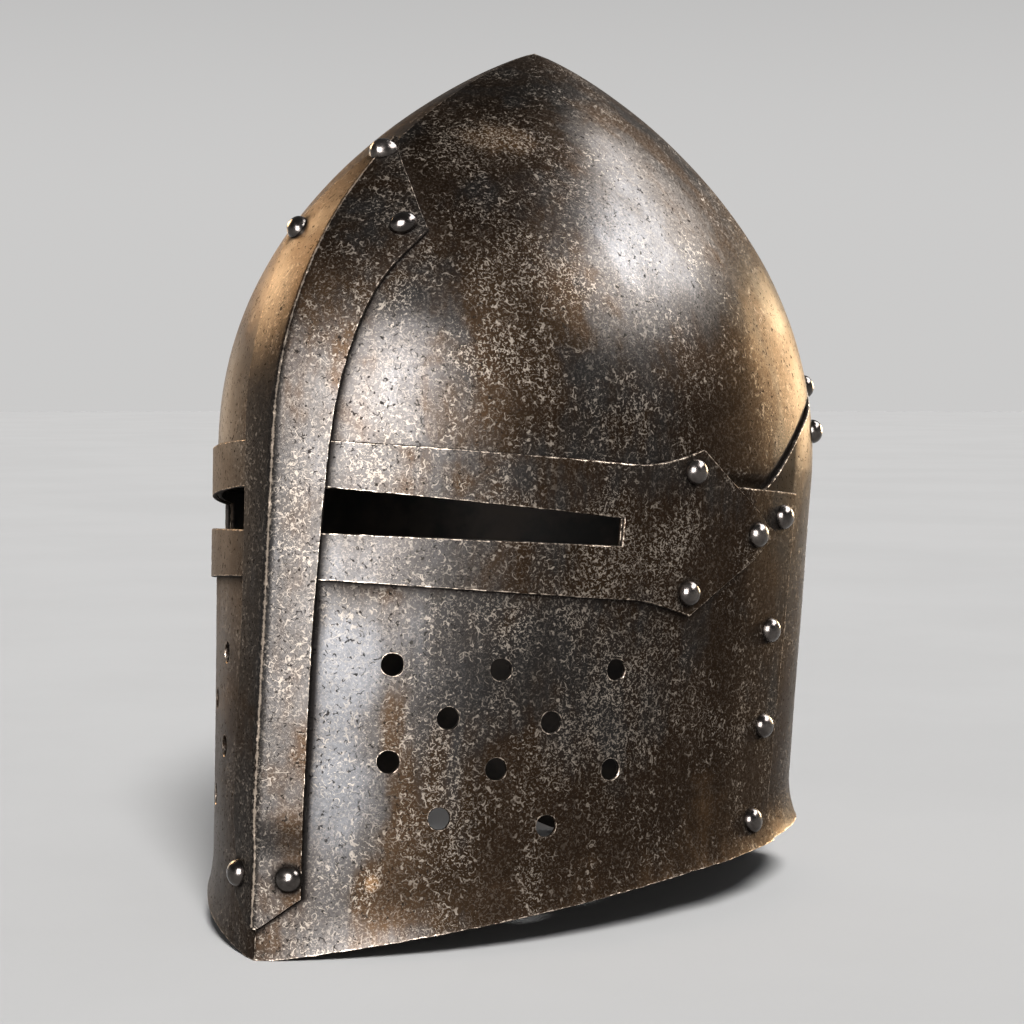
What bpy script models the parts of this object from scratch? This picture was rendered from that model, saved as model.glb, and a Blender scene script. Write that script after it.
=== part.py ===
"""Sugarloaf helm: crown, face plate, back plate, sight bar, keel strip and rivets.

Every plate lies on one shell. A point of the shell has a turn and a height: turn 0 is the keel
at the front, 1 the widest line of the side and 2 the middle of the back, negative on the other
side. Heights are measured with the sight bar level; the finished helm leans back so that the
chin and the nape both stand on the ground.
"""
import math

import bmesh
import bpy
from mathutils import Vector

# Turn of the middle of the back
BACK_TURN = 2.0

# Shell, in metres
HELM_HEIGHT = 0.360
BROW_HEIGHT = 0.191
HALF_WIDTH = 0.1125
FRONT_REACH = 0.166
REAR_REACH = 0.1095
APEX_FORWARD = 0.008
SIDE_SPREAD = 0.062
REAR_SPREAD = -0.075
KEEL_SHARPNESS = 1.0
REAR_SQUARENESS = 2.6
SIDE_DOME = (2.14, 0.85)
FRONT_DOME = (2.27, 0.907)
REAR_DOME = (1.99, 0.59)
LEAN_DEG = 5.0

# Sheet metal
SHEET = 0.0018
CLEARANCE = 0.0003
LAYER = SHEET + CLEARANCE

# Lower edge
ARCH_RISE = 0.0255
ARCH_TURN = 1.40
CHIN_TURN = 0.035
NAPE_TURN = 1.80
FLARE = 0.0042
FLARE_HEIGHT = 0.018

# Face plate and back plate
FACE_TOP = 0.1815
FACE_TURN = 1.10
LAP_TURN = 0.96
LAP_START = 0.85
CREST_TOP = 0.262
OVERLAP = 0.010
TUCK_HEIGHT = 0.006
TUCK_MARGIN = 0.0006
SLEEVE = 0.0006

# Sight bar
BAR_LOW = 0.1362
BAR_HIGH = 0.187
BAR_KEEL_RISE = 0.0026
BAR_SPEAR_LOW = 0.1308
BAR_SPEAR_HIGH = 0.1945
BAR_TIP_HEIGHT = 0.1638
BAR_NECK_TURN = 0.65
BAR_SHOULDER_TURN = 0.79
BAR_TIP_TURN = 1.02
BRIDGE_TURN = 0.07
SLOT_TURN = 0.62
SLOT_LOW = (0.1556, 0.1563)
SLOT_HIGH = (0.1728, 0.1665)

# Keel strip
STRIP_FOOT = 0.0115
STRIP_TOP = 0.3080
STRIP_TURN = 0.203
STRIP_FOOT_GAP = 0.0009
STRIP_TOP_GAP = 0.0005

# Rivets and breaths
RIVET_RADIUS = 0.0050
RIVET_HEIGHT = 0.0043
RIVET_SIDES = 12
BREATH_RADIUS = 0.0040
BREATH_SIDES = 12
BREATH_REACH = 0.010

# Turn where a run of columns starts, number of columns up to the next start
COLUMN_RUNS = (
    (0.0, 2),
    (BRIDGE_TURN, 8),
    (SLOT_TURN, 3),
    (BAR_SHOULDER_TURN, 1),
    (LAP_START, 2),
    (LAP_TURN, 1),
    (BAR_TIP_TURN, 1),
    (FACE_TURN, 11),
    (BACK_TURN, 0),
)

# Share of the height from the crown's lower border to the apex
CROWN_ROWS = (0.09, 0.17, 0.25, 0.33, 0.41, 0.49, 0.57, 0.65, 0.73, 0.80, 0.86, 0.91, 0.95, 0.98)

# Turn, share of the full flare
FLARE_SPREAD = (
    (0.0, 0.0),
    (0.25, 0.45),
    (0.60, 0.60),
    (1.10, 1.0),
    (2.0, 1.0),
)

# Share of the flare's height over the lower edge
FLARE_ROWS = (0.0, 0.33, 0.66, 1.0)

# Share of the height from the flare to the sight bar
CHEEK_ROWS = (0.33, 0.66)

# Share of the height from the flare to where the back plate covers the crown
NAPE_ROWS = (0.25, 0.5, 0.62, 0.72, 0.82, 0.91, 1.0)

# Share of the way from the widest line to the middle of the back, share of the crest's rise
NAPE_EDGE = (
    (0.0, 0.0),
    (0.06, 0.155),
    (0.14, 0.31),
    (0.30, 0.49),
    (0.42, 0.70),
    (0.60, 0.85),
    (0.80, 0.96),
    (1.0, 1.0),
)

# Share of the strip's height, share of its widest turn
STRIP_EDGE = (
    (0.0, 0.0),
    (0.04, 0.39),
    (0.13, 0.38),
    (0.33, 0.38),
    (0.52, 0.42),
    (0.60, 0.45),
    (0.69, 0.52),
    (0.76, 0.61),
    (0.81, 0.73),
    (0.868, 1.0),
    (0.93, 0.62),
    (1.0, 0.0),
)

# Number of even steps along the strip beside the table's own rows
STRIP_STEPS = 24

# Share of the strip's height, share of its stand-off over the bar
STRIP_STAND = (
    (0.0, 0.0),
    (0.085, 0.0),
    (0.14, 1.0),
    (0.62, 1.0),
    (0.82, 0.0),
    (1.0, 0.0),
)

# Turn of each breath on one side, share of the height up to the sight bar
BREATHS = (
    (0.215, 0.802),
    (0.408, 0.800),
    (0.636, 0.808),
    (0.318, 0.665),
    (0.510, 0.661),
    (0.217, 0.543),
    (0.411, 0.532),
    (0.641, 0.534),
    (0.313, 0.396),
    (0.515, 0.380),
)

# Turn of each rivet on one side, share of the bar's spread at its shoulder
BAR_RIVETS = ((0.770, 0.863), (0.955, 0.516), (0.780, 0.140))

# Turn of each rivet on one side, share of the face plate's height
SEAM_RIVETS = ((1.045, 0.945), (1.036, 0.696), (1.044, 0.485), (1.033, 0.278))

# Turn of each rivet on one side, share of the crest's rise over the face plate
NAPE_RIVETS = ((1.31, 0.335), (1.42, 0.578), (1.60, 0.720), (1.84, 0.840))

# Turn of each rivet, share of the strip's height
KEEL_RIVETS = ((0.0, 0.976), (0.148, 0.872), (-0.148, 0.872), (0.056, 0.064), (-0.056, 0.064))

# Share of the rivet's height, share of its radius
DOME_RINGS = ((0.0, 1.0), (0.45, 0.92), (0.82, 0.60))

# Share of the strip's half width at each column
STRIP_COLUMNS = (-1.0, -0.5, 0.0, 0.5, 1.0)

APEX_DROP = 1.3
SHARP_ANGLE = math.radians(30.0)
BODY_COLOUR = (0.075, 0.062, 0.052, 1.0)
TRIM_COLOUR = (0.095, 0.078, 0.065, 1.0)
RIVET_COLOUR = (0.16, 0.15, 0.145, 1.0)


def blend(share):
    """A share from 0 to 1 eased at both ends."""
    held = min(max(share, 0.0), 1.0)
    return held * held * (3.0 - 2.0 * held)


def table_value(table, share):
    """The second column of a table at a share of its first."""
    for (low, start), (high, end) in zip(table, table[1:]):
        if share <= high:
            return start + (end - start) * max(share - low, 0.0) / (high - low)
    return table[-1][1]


def dome(curve, rise):
    """How much of a reach is left at a share of the height over the brow."""
    power, root = curve
    return max(1.0 - rise ** power, 0.0) ** root


def shell(turn, height):
    """The point of the shell at a turn and a height."""
    side = abs(turn)
    above = height - BROW_HEIGHT
    rise = min(max(above / (HELM_HEIGHT - BROW_HEIGHT), 0.0), 1.0)
    below = min(above, 0.0)
    front_left = dome(FRONT_DOME, rise)
    middle = APEX_FORWARD * (front_left - 1.0)
    half = (HALF_WIDTH + SIDE_SPREAD * below) * dome(SIDE_DOME, rise)
    front = max(FRONT_REACH * front_left, half * 1.0001)
    rear = (REAR_REACH + APEX_FORWARD + REAR_SPREAD * below) * dome(REAR_DOME, rise)
    rear -= APEX_FORWARD * front_left
    if side <= 1.0:
        centre = KEEL_SHARPNESS * (front * front - half * half) / (2.0 * half)
        radius = math.hypot(centre, front)
        angle = math.atan2(-front, centre) * (1.0 - side)
        across = (radius * math.cos(angle) - centre) * half / (radius - centre)
        along = radius * math.sin(angle)
    else:
        angle = (side - 1.0) * math.pi / 2.0
        power = 2.0 / REAR_SQUARENESS
        across = half * max(math.cos(angle), 0.0) ** power
        along = rear * math.sin(angle) ** power
    return Vector((math.copysign(across, turn), middle + along, height))


def outward(turn, height):
    """The step that lifts a sheet off the shell by one unit, mitred at the keel and the back."""
    side = abs(turn)
    turn_step = 0.004
    height_step = 0.0004
    low = max(side - turn_step, 0.0)
    high = min(side + turn_step, BACK_TURN)
    along = shell(high, height) - shell(low, height)
    top = min(height + height_step, HELM_HEIGHT - height_step)
    up = shell(side, top) - shell(side, top - 2.0 * height_step)
    normal = along.cross(up).normalized()
    if side < turn_step or side > BACK_TURN - turn_step:
        mitre = Vector((0.0, normal.y, normal.z)).normalized()
        normal = mitre / mitre.dot(normal)
    return Vector((math.copysign(normal.x, turn), normal.y, normal.z))


def lifted(turn, height, lift):
    """The point at a lift off the shell."""
    return shell(turn, height) + outward(turn, height) * lift


def leaned_height(point):
    """Height of a point over the chin once the helm leans back."""
    lean = math.radians(LEAN_DEG)
    return point.z * math.cos(lean) - point.y * math.sin(lean) - FRONT_REACH * math.sin(lean)


def rest_height(turn):
    """Height of the lower edge over the ground: chin and nape stand, the sides arch up."""
    side = abs(turn)
    if side <= CHIN_TURN or side >= NAPE_TURN:
        return 0.0
    climb = min((side - CHIN_TURN) / (ARCH_TURN - CHIN_TURN), 1.0)
    fall = blend((side - ARCH_TURN) / (NAPE_TURN - ARCH_TURN))
    return ARCH_RISE * math.sin(math.pi / 2.0 * climb) * (1.0 - fall)


def flare(turn):
    """How far the lower edge stands out at a turn."""
    return FLARE * table_value(FLARE_SPREAD, abs(turn))


def edge_height(turn, lift):
    """Height on the shell at which a flared sheet meets its lower edge."""
    height = 0.0
    for _ in range(6):
        height += rest_height(turn) - leaned_height(lifted(turn, height, lift + flare(turn)))
    return height


def flared_point(turn, share, lift):
    """A point of a lower plate at a share of the flare's height over its edge."""
    height = edge_height(turn, lift) + share * FLARE_HEIGHT
    return lifted(turn, height, lift + flare(turn) * (1.0 - share) ** 2)


def lip(turn, height):
    """How far the flared lip stands out at a height."""
    share = 1.0 - (height - edge_height(turn, 0.0)) / FLARE_HEIGHT
    return flare(turn) * min(max(share, 0.0), 1.0) ** 2


def lap(turn):
    """How far the face plate stands out to lap over the back plate."""
    return LAYER * blend((abs(turn) - LAP_START) / (LAP_TURN - LAP_START))


def border(turn):
    """Top edge of the face plate and, behind the widest line, of the back plate."""
    return FACE_TOP + (CREST_TOP - FACE_TOP) * table_value(NAPE_EDGE, abs(turn) - 1.0)


def slot_edges(turn):
    """Lower and upper edge of the sight at a turn."""
    share = min(abs(turn) / SLOT_TURN, 1.0)
    low = SLOT_LOW[0] + (SLOT_LOW[1] - SLOT_LOW[0]) * share
    high = SLOT_HIGH[0] + (SLOT_HIGH[1] - SLOT_HIGH[0]) * share
    return low, high


def bar_edges(turn):
    """Lower and upper edge of the sight bar at a turn."""
    side = abs(turn)
    rise = BAR_KEEL_RISE * max(1.0 - side / SLOT_TURN, 0.0)
    spread = max(side - BAR_NECK_TURN, 0.0) / (BAR_SHOULDER_TURN - BAR_NECK_TURN)
    low = BAR_LOW + rise + (BAR_SPEAR_LOW - BAR_LOW) * min(spread, 1.0) ** 1.5
    high = BAR_HIGH + rise + (BAR_SPEAR_HIGH - BAR_HIGH) * min(spread, 1.0) ** 1.5
    point = max(side - BAR_SHOULDER_TURN, 0.0) / (BAR_TIP_TURN - BAR_SHOULDER_TURN)
    return low + (BAR_TIP_HEIGHT - low) * point, high + (BAR_TIP_HEIGHT - high) * point


def strip_stand(share):
    """Clear height under the keel strip at a share of its height."""
    rest_gap = STRIP_FOOT_GAP if share < 0.5 else STRIP_TOP_GAP
    return rest_gap + (LAYER + CLEARANCE - rest_gap) * table_value(STRIP_STAND, share)


def columns(first, last):
    """Turns of the columns from one turn to another."""
    turns = [BACK_TURN]
    for (start, count), (end, _) in zip(COLUMN_RUNS, COLUMN_RUNS[1:]):
        turns += [start + (end - start) * step / count for step in range(count)]
    both = sorted({-turn for turn in turns} | set(turns))
    return [turn for turn in both if first - 1e-6 <= turn <= last + 1e-6]


def in_slot(turns, column):
    """Whether the cell after a column lies in one of the two eye slots."""
    middle = abs(turns[column] + turns[column + 1]) / 2.0
    return BRIDGE_TURN < middle < SLOT_TURN


def piece(name, mesh, colour):
    """Turn a bmesh into a named sheet-metal object."""
    bmesh.ops.remove_doubles(mesh, verts=mesh.verts, dist=1e-6)
    bmesh.ops.recalc_face_normals(mesh, faces=mesh.faces)
    data = bpy.data.meshes.new(name)
    mesh.to_mesh(data)
    mesh.free()
    material = bpy.data.materials.new(name + "_steel")
    material.use_nodes = True
    shader = material.node_tree.nodes["Principled BSDF"]
    shader.inputs["Base Color"].default_value = colour
    shader.inputs["Metallic"].default_value = 0.9
    shader.inputs["Roughness"].default_value = 0.42
    data.materials.append(material)
    data.shade_smooth()
    data.set_sharp_from_angle(angle=SHARP_ANGLE)
    made = bpy.data.objects.new(name, data)
    bpy.context.scene.collection.objects.link(made)
    return made


def sheet(column_count, row_count, place, is_open=None, ring=False):
    """A plate of one thickness: place(column, row, depth) gives its outer and inner face."""
    mesh = bmesh.new()
    faces = []
    for depth in (0.0, SHEET):
        faces.append([[mesh.verts.new(place(column, row, depth)) for row in range(row_count)]
                      for column in range(column_count)])
    outer, inner = faces
    rims = set()
    for column in range(column_count if ring else column_count - 1):
        after = (column + 1) % column_count
        for row in range(row_count - 1):
            if is_open and is_open(column, row):
                continue
            corners = ((column, row), (after, row), (after, row + 1), (column, row + 1))
            for half in (corners[:3], (corners[0], *corners[2:])):
                mesh.faces.new([outer[step][level] for step, level in half])
                mesh.faces.new([inner[step][level] for step, level in reversed(half)])
            for edge in zip(corners, corners[1:] + corners[:1]):
                if edge[::-1] in rims:
                    rims.remove(edge[::-1])
                else:
                    rims.add(edge)
    if ring:
        rims = {edge for edge in rims if edge[0][1] == 0}
    for (column, row), (after, level) in sorted(rims):
        mesh.faces.new((outer[after][level], outer[column][row],
                        inner[column][row], inner[after][level]))
    return mesh, outer, inner


def build_crown():
    """The pointed skull, closed by an apex over its last row."""
    turns = columns(-BACK_TURN, BACK_TURN)[:-1]
    rows = len(CROWN_ROWS) + 3

    def place(column, row, depth):
        turn = turns[column]
        low = border(turn)
        if row == 0:
            return lifted(turn, low - OVERLAP, -LAYER - depth)
        if row == 1:
            return lifted(turn, low + TUCK_MARGIN, -LAYER - depth)
        low += TUCK_HEIGHT
        if row == 2:
            return lifted(turn, low, -depth)
        return lifted(turn, low + (HELM_HEIGHT - low) * CROWN_ROWS[row - 3], -depth)

    mesh, outer, inner = sheet(len(turns), rows, place, ring=True)
    tip = Vector((0.0, -APEX_FORWARD, HELM_HEIGHT))
    for face, drop in ((outer, 0.0), (inner, SHEET * APEX_DROP)):
        apex = mesh.verts.new(tip - Vector((0.0, 0.0, drop)))
        for column in range(len(turns)):
            mesh.faces.new((face[column][-1], face[(column + 1) % len(turns)][-1], apex))
    return piece("crown", mesh, BODY_COLOUR)


def build_face_plate():
    """The keeled front plate with its sight and its breaths."""
    turns = columns(-FACE_TURN, FACE_TURN)
    flare_count = len(FLARE_ROWS)
    slot_row = flare_count + len(CHEEK_ROWS)

    def place(column, row, depth):
        turn = turns[column]
        lift = lap(turn) - depth
        if row < flare_count:
            return flared_point(turn, FLARE_ROWS[row], lift)
        slot_low, slot_high = slot_edges(turn)
        cheek_low = edge_height(turn, lift) + FLARE_HEIGHT
        heights = [cheek_low + (BAR_LOW - cheek_low) * share for share in CHEEK_ROWS]
        heights += [slot_low - SLEEVE, slot_high + SLEEVE, FACE_TOP]
        return lifted(turn, heights[row - flare_count], lift)

    def is_open(column, row):
        return row == slot_row and in_slot(turns, column)

    mesh, _, _ = sheet(len(turns), slot_row + 3, place, is_open)
    face_plate = piece("face_plate", mesh, BODY_COLOUR)

    drills = bmesh.new()
    for turn, share in BREATHS:
        height = BAR_LOW * share
        for side in (-turn, turn):
            aim = outward(side, height).to_track_quat("Z", "Y").to_matrix().to_4x4()
            aim.translation = shell(side, height)
            bmesh.ops.create_cone(drills, cap_ends=True, segments=BREATH_SIDES, matrix=aim,
                                  radius1=BREATH_RADIUS, radius2=BREATH_RADIUS,
                                  depth=2.0 * BREATH_REACH)
    data = bpy.data.meshes.new("breath_drills")
    drills.to_mesh(data)
    drills.free()
    cutter = bpy.data.objects.new("breath_drills", data)
    cutter.hide_render = True
    cutter.display_type = "WIRE"
    bpy.context.scene.collection.objects.link(cutter)
    cut = face_plate.modifiers.new("breaths", "BOOLEAN")
    cut.operation = "DIFFERENCE"
    cut.solver = "EXACT"
    cut.object = cutter
    return face_plate, cutter


def build_back_plate():
    """The nape plate, from under the face plate's rear edges round to the crest."""
    front = columns(LAP_TURN, BACK_TURN)
    turns = front + [-turn for turn in reversed(front[:-1])]
    flare_count = len(FLARE_ROWS)
    top_row = flare_count + len(NAPE_ROWS)

    def place(column, row, depth):
        turn = turns[column]
        if row < flare_count:
            return flared_point(turn, FLARE_ROWS[row], -depth)
        if row == top_row:
            return lifted(turn, border(turn), -depth)
        low = edge_height(turn, -depth) + FLARE_HEIGHT
        high = border(turn) - OVERLAP
        return lifted(turn, low + (high - low) * NAPE_ROWS[row - flare_count], -depth)

    mesh, _, _ = sheet(len(turns), top_row + 1, place)
    return piece("back_plate", mesh, BODY_COLOUR)


def build_sight_bar():
    """The level bar with its two eye slots and its spear-shaped ends."""
    turns = columns(-BAR_TIP_TURN, BAR_TIP_TURN)

    def place(column, row, depth):
        turn = turns[column]
        low, high = bar_edges(turn)
        slot_low, slot_high = slot_edges(turn)
        if abs(turn) > SLOT_TURN:
            slot_low = low + (high - low) * (slot_low - BAR_LOW) / (BAR_HIGH - BAR_LOW)
            slot_high = low + (high - low) * (slot_high - BAR_LOW) / (BAR_HIGH - BAR_LOW)
        return lifted(turn, (low, slot_low, slot_high, high)[row], lap(turn) + LAYER - depth)

    def is_open(column, row):
        return row == 1 and in_slot(turns, column)

    mesh, _, _ = sheet(len(turns), 4, place, is_open)
    return piece("sight_bar", mesh, TRIM_COLOUR)


def build_keel_strip():
    """The folded strip over the keel: pointed foot, straight sides, spear-shaped top."""
    even = {step / STRIP_STEPS for step in range(STRIP_STEPS + 1)}
    shares = sorted(even | {share for share, _ in STRIP_EDGE})

    def place(column, row, depth):
        share = shares[row]
        turn = STRIP_TURN * table_value(STRIP_EDGE, share) * STRIP_COLUMNS[column]
        height = STRIP_FOOT + (STRIP_TOP - STRIP_FOOT) * share
        return lifted(turn, height, lip(turn, height) + strip_stand(share) + SHEET - depth)

    mesh, _, _ = sheet(len(STRIP_COLUMNS), len(shares), place)
    return piece("keel_strip", mesh, TRIM_COLOUR)


def build_rivet(name, turn, height, seat):
    """A domed head with a flat foot, which is folded over the keel where it sits on it."""
    reach = RIVET_RADIUS
    step = 0.01
    turn_length = (shell(turn + step, height) - shell(turn - step, height)).length / (2.0 * step)
    rise_length = (shell(turn, height + reach) - shell(turn, height)).length / reach

    def ground(sideways, upwards):
        """The point of the plate under a point of the foot."""
        foot_turn = turn + sideways / turn_length
        foot_height = height + upwards / rise_length
        return lifted(foot_turn, foot_height, seat + lip(foot_turn, foot_height))

    across = (ground(reach, 0.0) - ground(-reach, 0.0)).normalized()
    upright = (ground(0.0, reach) - ground(0.0, -reach)).normalized()
    axis = across.cross(upright).normalized()
    upright = axis.cross(across)
    centre = ground(0.0, 0.0)
    angles = [2.0 * math.pi * side / RIVET_SIDES for side in range(RIVET_SIDES)]
    if turn:
        edge = [ground(reach * math.cos(angle), reach * math.sin(angle)) for angle in angles]
        centre += axis * max(0.0, *(axis.dot(point - centre) for point in edge))
    mesh = bmesh.new()
    rings = []
    for rise, share in DOME_RINGS:
        ring = []
        for angle in angles:
            sideways = reach * share * math.cos(angle)
            upwards = reach * share * math.sin(angle)
            if turn:
                foot = centre + across * sideways + upright * upwards
            else:
                foot = ground(sideways, upwards)
            ring.append(mesh.verts.new(foot + axis * RIVET_HEIGHT * rise))
        rings.append(ring)
    under = mesh.verts.new(centre)
    top = mesh.verts.new(centre + axis * RIVET_HEIGHT)
    for side in range(RIVET_SIDES):
        after = (side + 1) % RIVET_SIDES
        mesh.faces.new((rings[0][after], rings[0][side], under))
        mesh.faces.new((rings[-1][side], rings[-1][after], top))
        for low, high in zip(rings, rings[1:]):
            mesh.faces.new((low[side], low[after], high[after], high[side]))
    return piece(name, mesh, RIVET_COLOUR)


def build_rivets():
    """All rivet heads, each over the plate that it holds."""
    rivets = []
    for number, (turn, share) in enumerate(KEEL_RIVETS, start=1):
        height = STRIP_FOOT + (STRIP_TOP - STRIP_FOOT) * share
        seat = strip_stand(share) + SHEET + CLEARANCE
        rivets.append(build_rivet(f"keel_rivet_{number}", turn, height, seat))
    for side, sign in (("left", 1.0), ("right", -1.0)):
        for number, (turn, share) in enumerate(BAR_RIVETS, start=1):
            height = BAR_SPEAR_LOW + (BAR_SPEAR_HIGH - BAR_SPEAR_LOW) * share
            seat = lap(turn) + LAYER + CLEARANCE
            rivets.append(build_rivet(f"bar_rivet_{side}_{number}", sign * turn, height, seat))
        for number, (turn, share) in enumerate(SEAM_RIVETS, start=1):
            seat = lap(turn) + CLEARANCE
            rivets.append(build_rivet(f"seam_rivet_{side}_{number}", sign * turn,
                                      FACE_TOP * share, seat))
        for number, (turn, share) in enumerate(NAPE_RIVETS, start=1):
            height = FACE_TOP + (CREST_TOP - FACE_TOP) * share
            rivets.append(build_rivet(f"nape_rivet_{side}_{number}", sign * turn, height,
                                      CLEARANCE))
    return rivets


def main():
    """Build every piece, then lean the helm back onto its chin and nape."""
    for old in list(bpy.data.objects):
        bpy.data.objects.remove(old)
    face_plate, drills = build_face_plate()
    pieces = [build_crown(), face_plate, build_back_plate(), build_sight_bar(),
              build_keel_strip(), *build_rivets()]
    corners = [made.matrix_world @ vertex.co for made in pieces for vertex in made.data.vertices]
    lean = bpy.data.objects.new("lean", None)
    lean.rotation_euler.x = -math.radians(LEAN_DEG)
    bpy.context.scene.collection.objects.link(lean)
    turned = [lean.rotation_euler.to_matrix() @ corner for corner in corners]
    reach = [corner.y for corner in turned]
    lean.location = (0.0, -(min(reach) + max(reach)) / 2.0, -min(corner.z for corner in turned))
    for made in [*pieces, drills]:
        made.parent = lean


main()
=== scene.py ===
"""Looks of the sugarloaf helm: fine plates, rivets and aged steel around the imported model.

A point of the helm has a turn and a height. Turn 0 is the keel at the front, 1 the widest line of
the side and 2 the middle of the back, negative on the other side. Heights are measured with the
sight level; the finished helm leans back onto its chin and nape.
"""
from __future__ import annotations

import logging
import math
from bisect import bisect_left
from collections.abc import Callable
from dataclasses import dataclass
from enum import Enum
from functools import lru_cache

import bmesh
import bpy
from mathutils import Matrix, Vector, noise

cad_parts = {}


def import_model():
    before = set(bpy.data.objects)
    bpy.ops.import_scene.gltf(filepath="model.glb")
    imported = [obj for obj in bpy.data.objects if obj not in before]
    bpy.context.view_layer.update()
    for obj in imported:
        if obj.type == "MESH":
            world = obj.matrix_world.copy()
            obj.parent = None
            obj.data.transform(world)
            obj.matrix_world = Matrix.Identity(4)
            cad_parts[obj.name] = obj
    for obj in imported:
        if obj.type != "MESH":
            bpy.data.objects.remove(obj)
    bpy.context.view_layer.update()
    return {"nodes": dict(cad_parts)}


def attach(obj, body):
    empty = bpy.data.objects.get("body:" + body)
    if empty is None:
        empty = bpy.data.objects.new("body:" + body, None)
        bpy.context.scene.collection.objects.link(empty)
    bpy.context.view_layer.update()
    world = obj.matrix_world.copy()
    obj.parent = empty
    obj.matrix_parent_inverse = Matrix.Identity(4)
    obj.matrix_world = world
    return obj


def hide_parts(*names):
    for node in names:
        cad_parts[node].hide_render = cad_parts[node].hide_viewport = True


log = logging.getLogger("helm")

BODY = "root"
BACK_TURN = 2.0
WHOLE_TURN = 4.0
FINE_STEPS = 240
EDGE_STEPS = 6
KEEL_SIDE = 0.1
ROUNDING = 1e-6


class Metal(Enum):
    """Labels for the three kinds of steel in the helm."""

    PLATE = "aged_steel"
    TRIM = "trim_steel"
    RIVET = "rivet_steel"


class Side(Enum):
    """The two sides of the helm and the sign of their turns."""

    LEFT = 1.0
    RIGHT = -1.0


def eased(share: float) -> float:
    """A share from 0 to 1, eased at both ends."""
    held = min(max(share, 0.0), 1.0)
    return held * held * (3.0 - 2.0 * held)


def nearness(distance: float, reach: float) -> float:
    """1 at no distance, falling off over the reach."""
    return math.exp(-max(distance, 0.0) / reach)


@dataclass(frozen=True)
class Course:
    """A smooth line through rows of share, value and whether the line has a corner there."""

    rows: tuple[tuple[float, float, bool], ...]

    def slope(self, row: int, after: bool) -> float:
        """Slope of the line at a row.

        Args:
            row: number of the row.
            after: whether the stretch after the row is asked for, which counts at a corner.

        Returns:
            The change of value for one unit of share.
        """
        last = len(self.rows) - 1
        steps = []
        for first in (row - 1, row):
            if 0 <= first < last:
                low, high = self.rows[first], self.rows[first + 1]
                steps.append((high[1] - low[1]) / (high[0] - low[0]))
        if len(steps) == 1:
            return steps[0]
        if self.rows[row][2]:
            return steps[1] if after else steps[0]
        return 0.0 if steps[0] * steps[1] <= 0.0 else sum(steps) / 2.0

    def value(self, share: float) -> float:
        """The value at a share.

        Args:
            share: place along the line, held to its ends.

        Returns:
            The value, on a cubic between the two rows around the share.
        """
        share = min(max(share, self.rows[0][0]), self.rows[-1][0])
        row = 0
        while row < len(self.rows) - 2 and share > self.rows[row + 1][0]:
            row += 1
        low, high = self.rows[row], self.rows[row + 1]
        width = high[0] - low[0]
        step = (share - low[0]) / width
        leave = self.slope(row, True) * width
        arrive = self.slope(row + 1, False) * width
        rise = high[1] - low[1]
        curve = eased(step)
        bend = step * (1.0 - step) * (leave * (1.0 - step) - arrive * step)
        return low[1] + rise * curve + bend


FLARE_SPREAD = Course((
    (0.0, 0.0, True),
    (0.25, 0.45, False),
    (0.60, 0.60, False),
    (1.10, 1.0, False),
    (2.0, 1.0, False),
))

NAPE_EDGE = Course((
    (0.0, 0.0, True),
    (0.06, 0.155, False),
    (0.14, 0.31, False),
    (0.30, 0.49, False),
    (0.42, 0.70, False),
    (0.60, 0.85, False),
    (0.80, 0.96, False),
    (1.0, 1.0, False),
))

STRIP_EDGE = Course((
    (0.0, 0.012, True),
    (0.04, 0.39, True),
    (0.13, 0.38, False),
    (0.33, 0.38, False),
    (0.52, 0.42, False),
    (0.60, 0.45, False),
    (0.69, 0.52, False),
    (0.76, 0.61, False),
    (0.81, 0.73, False),
    (0.868, 1.0, True),
    (0.93, 0.62, False),
    (1.0, 0.02, True),
))

STRIP_STAND = Course((
    (0.0, 0.0, False),
    (0.085, 0.0, False),
    (0.14, 1.0, False),
    (0.62, 1.0, False),
    (0.82, 0.0, False),
    (1.0, 0.0, False),
))


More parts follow.
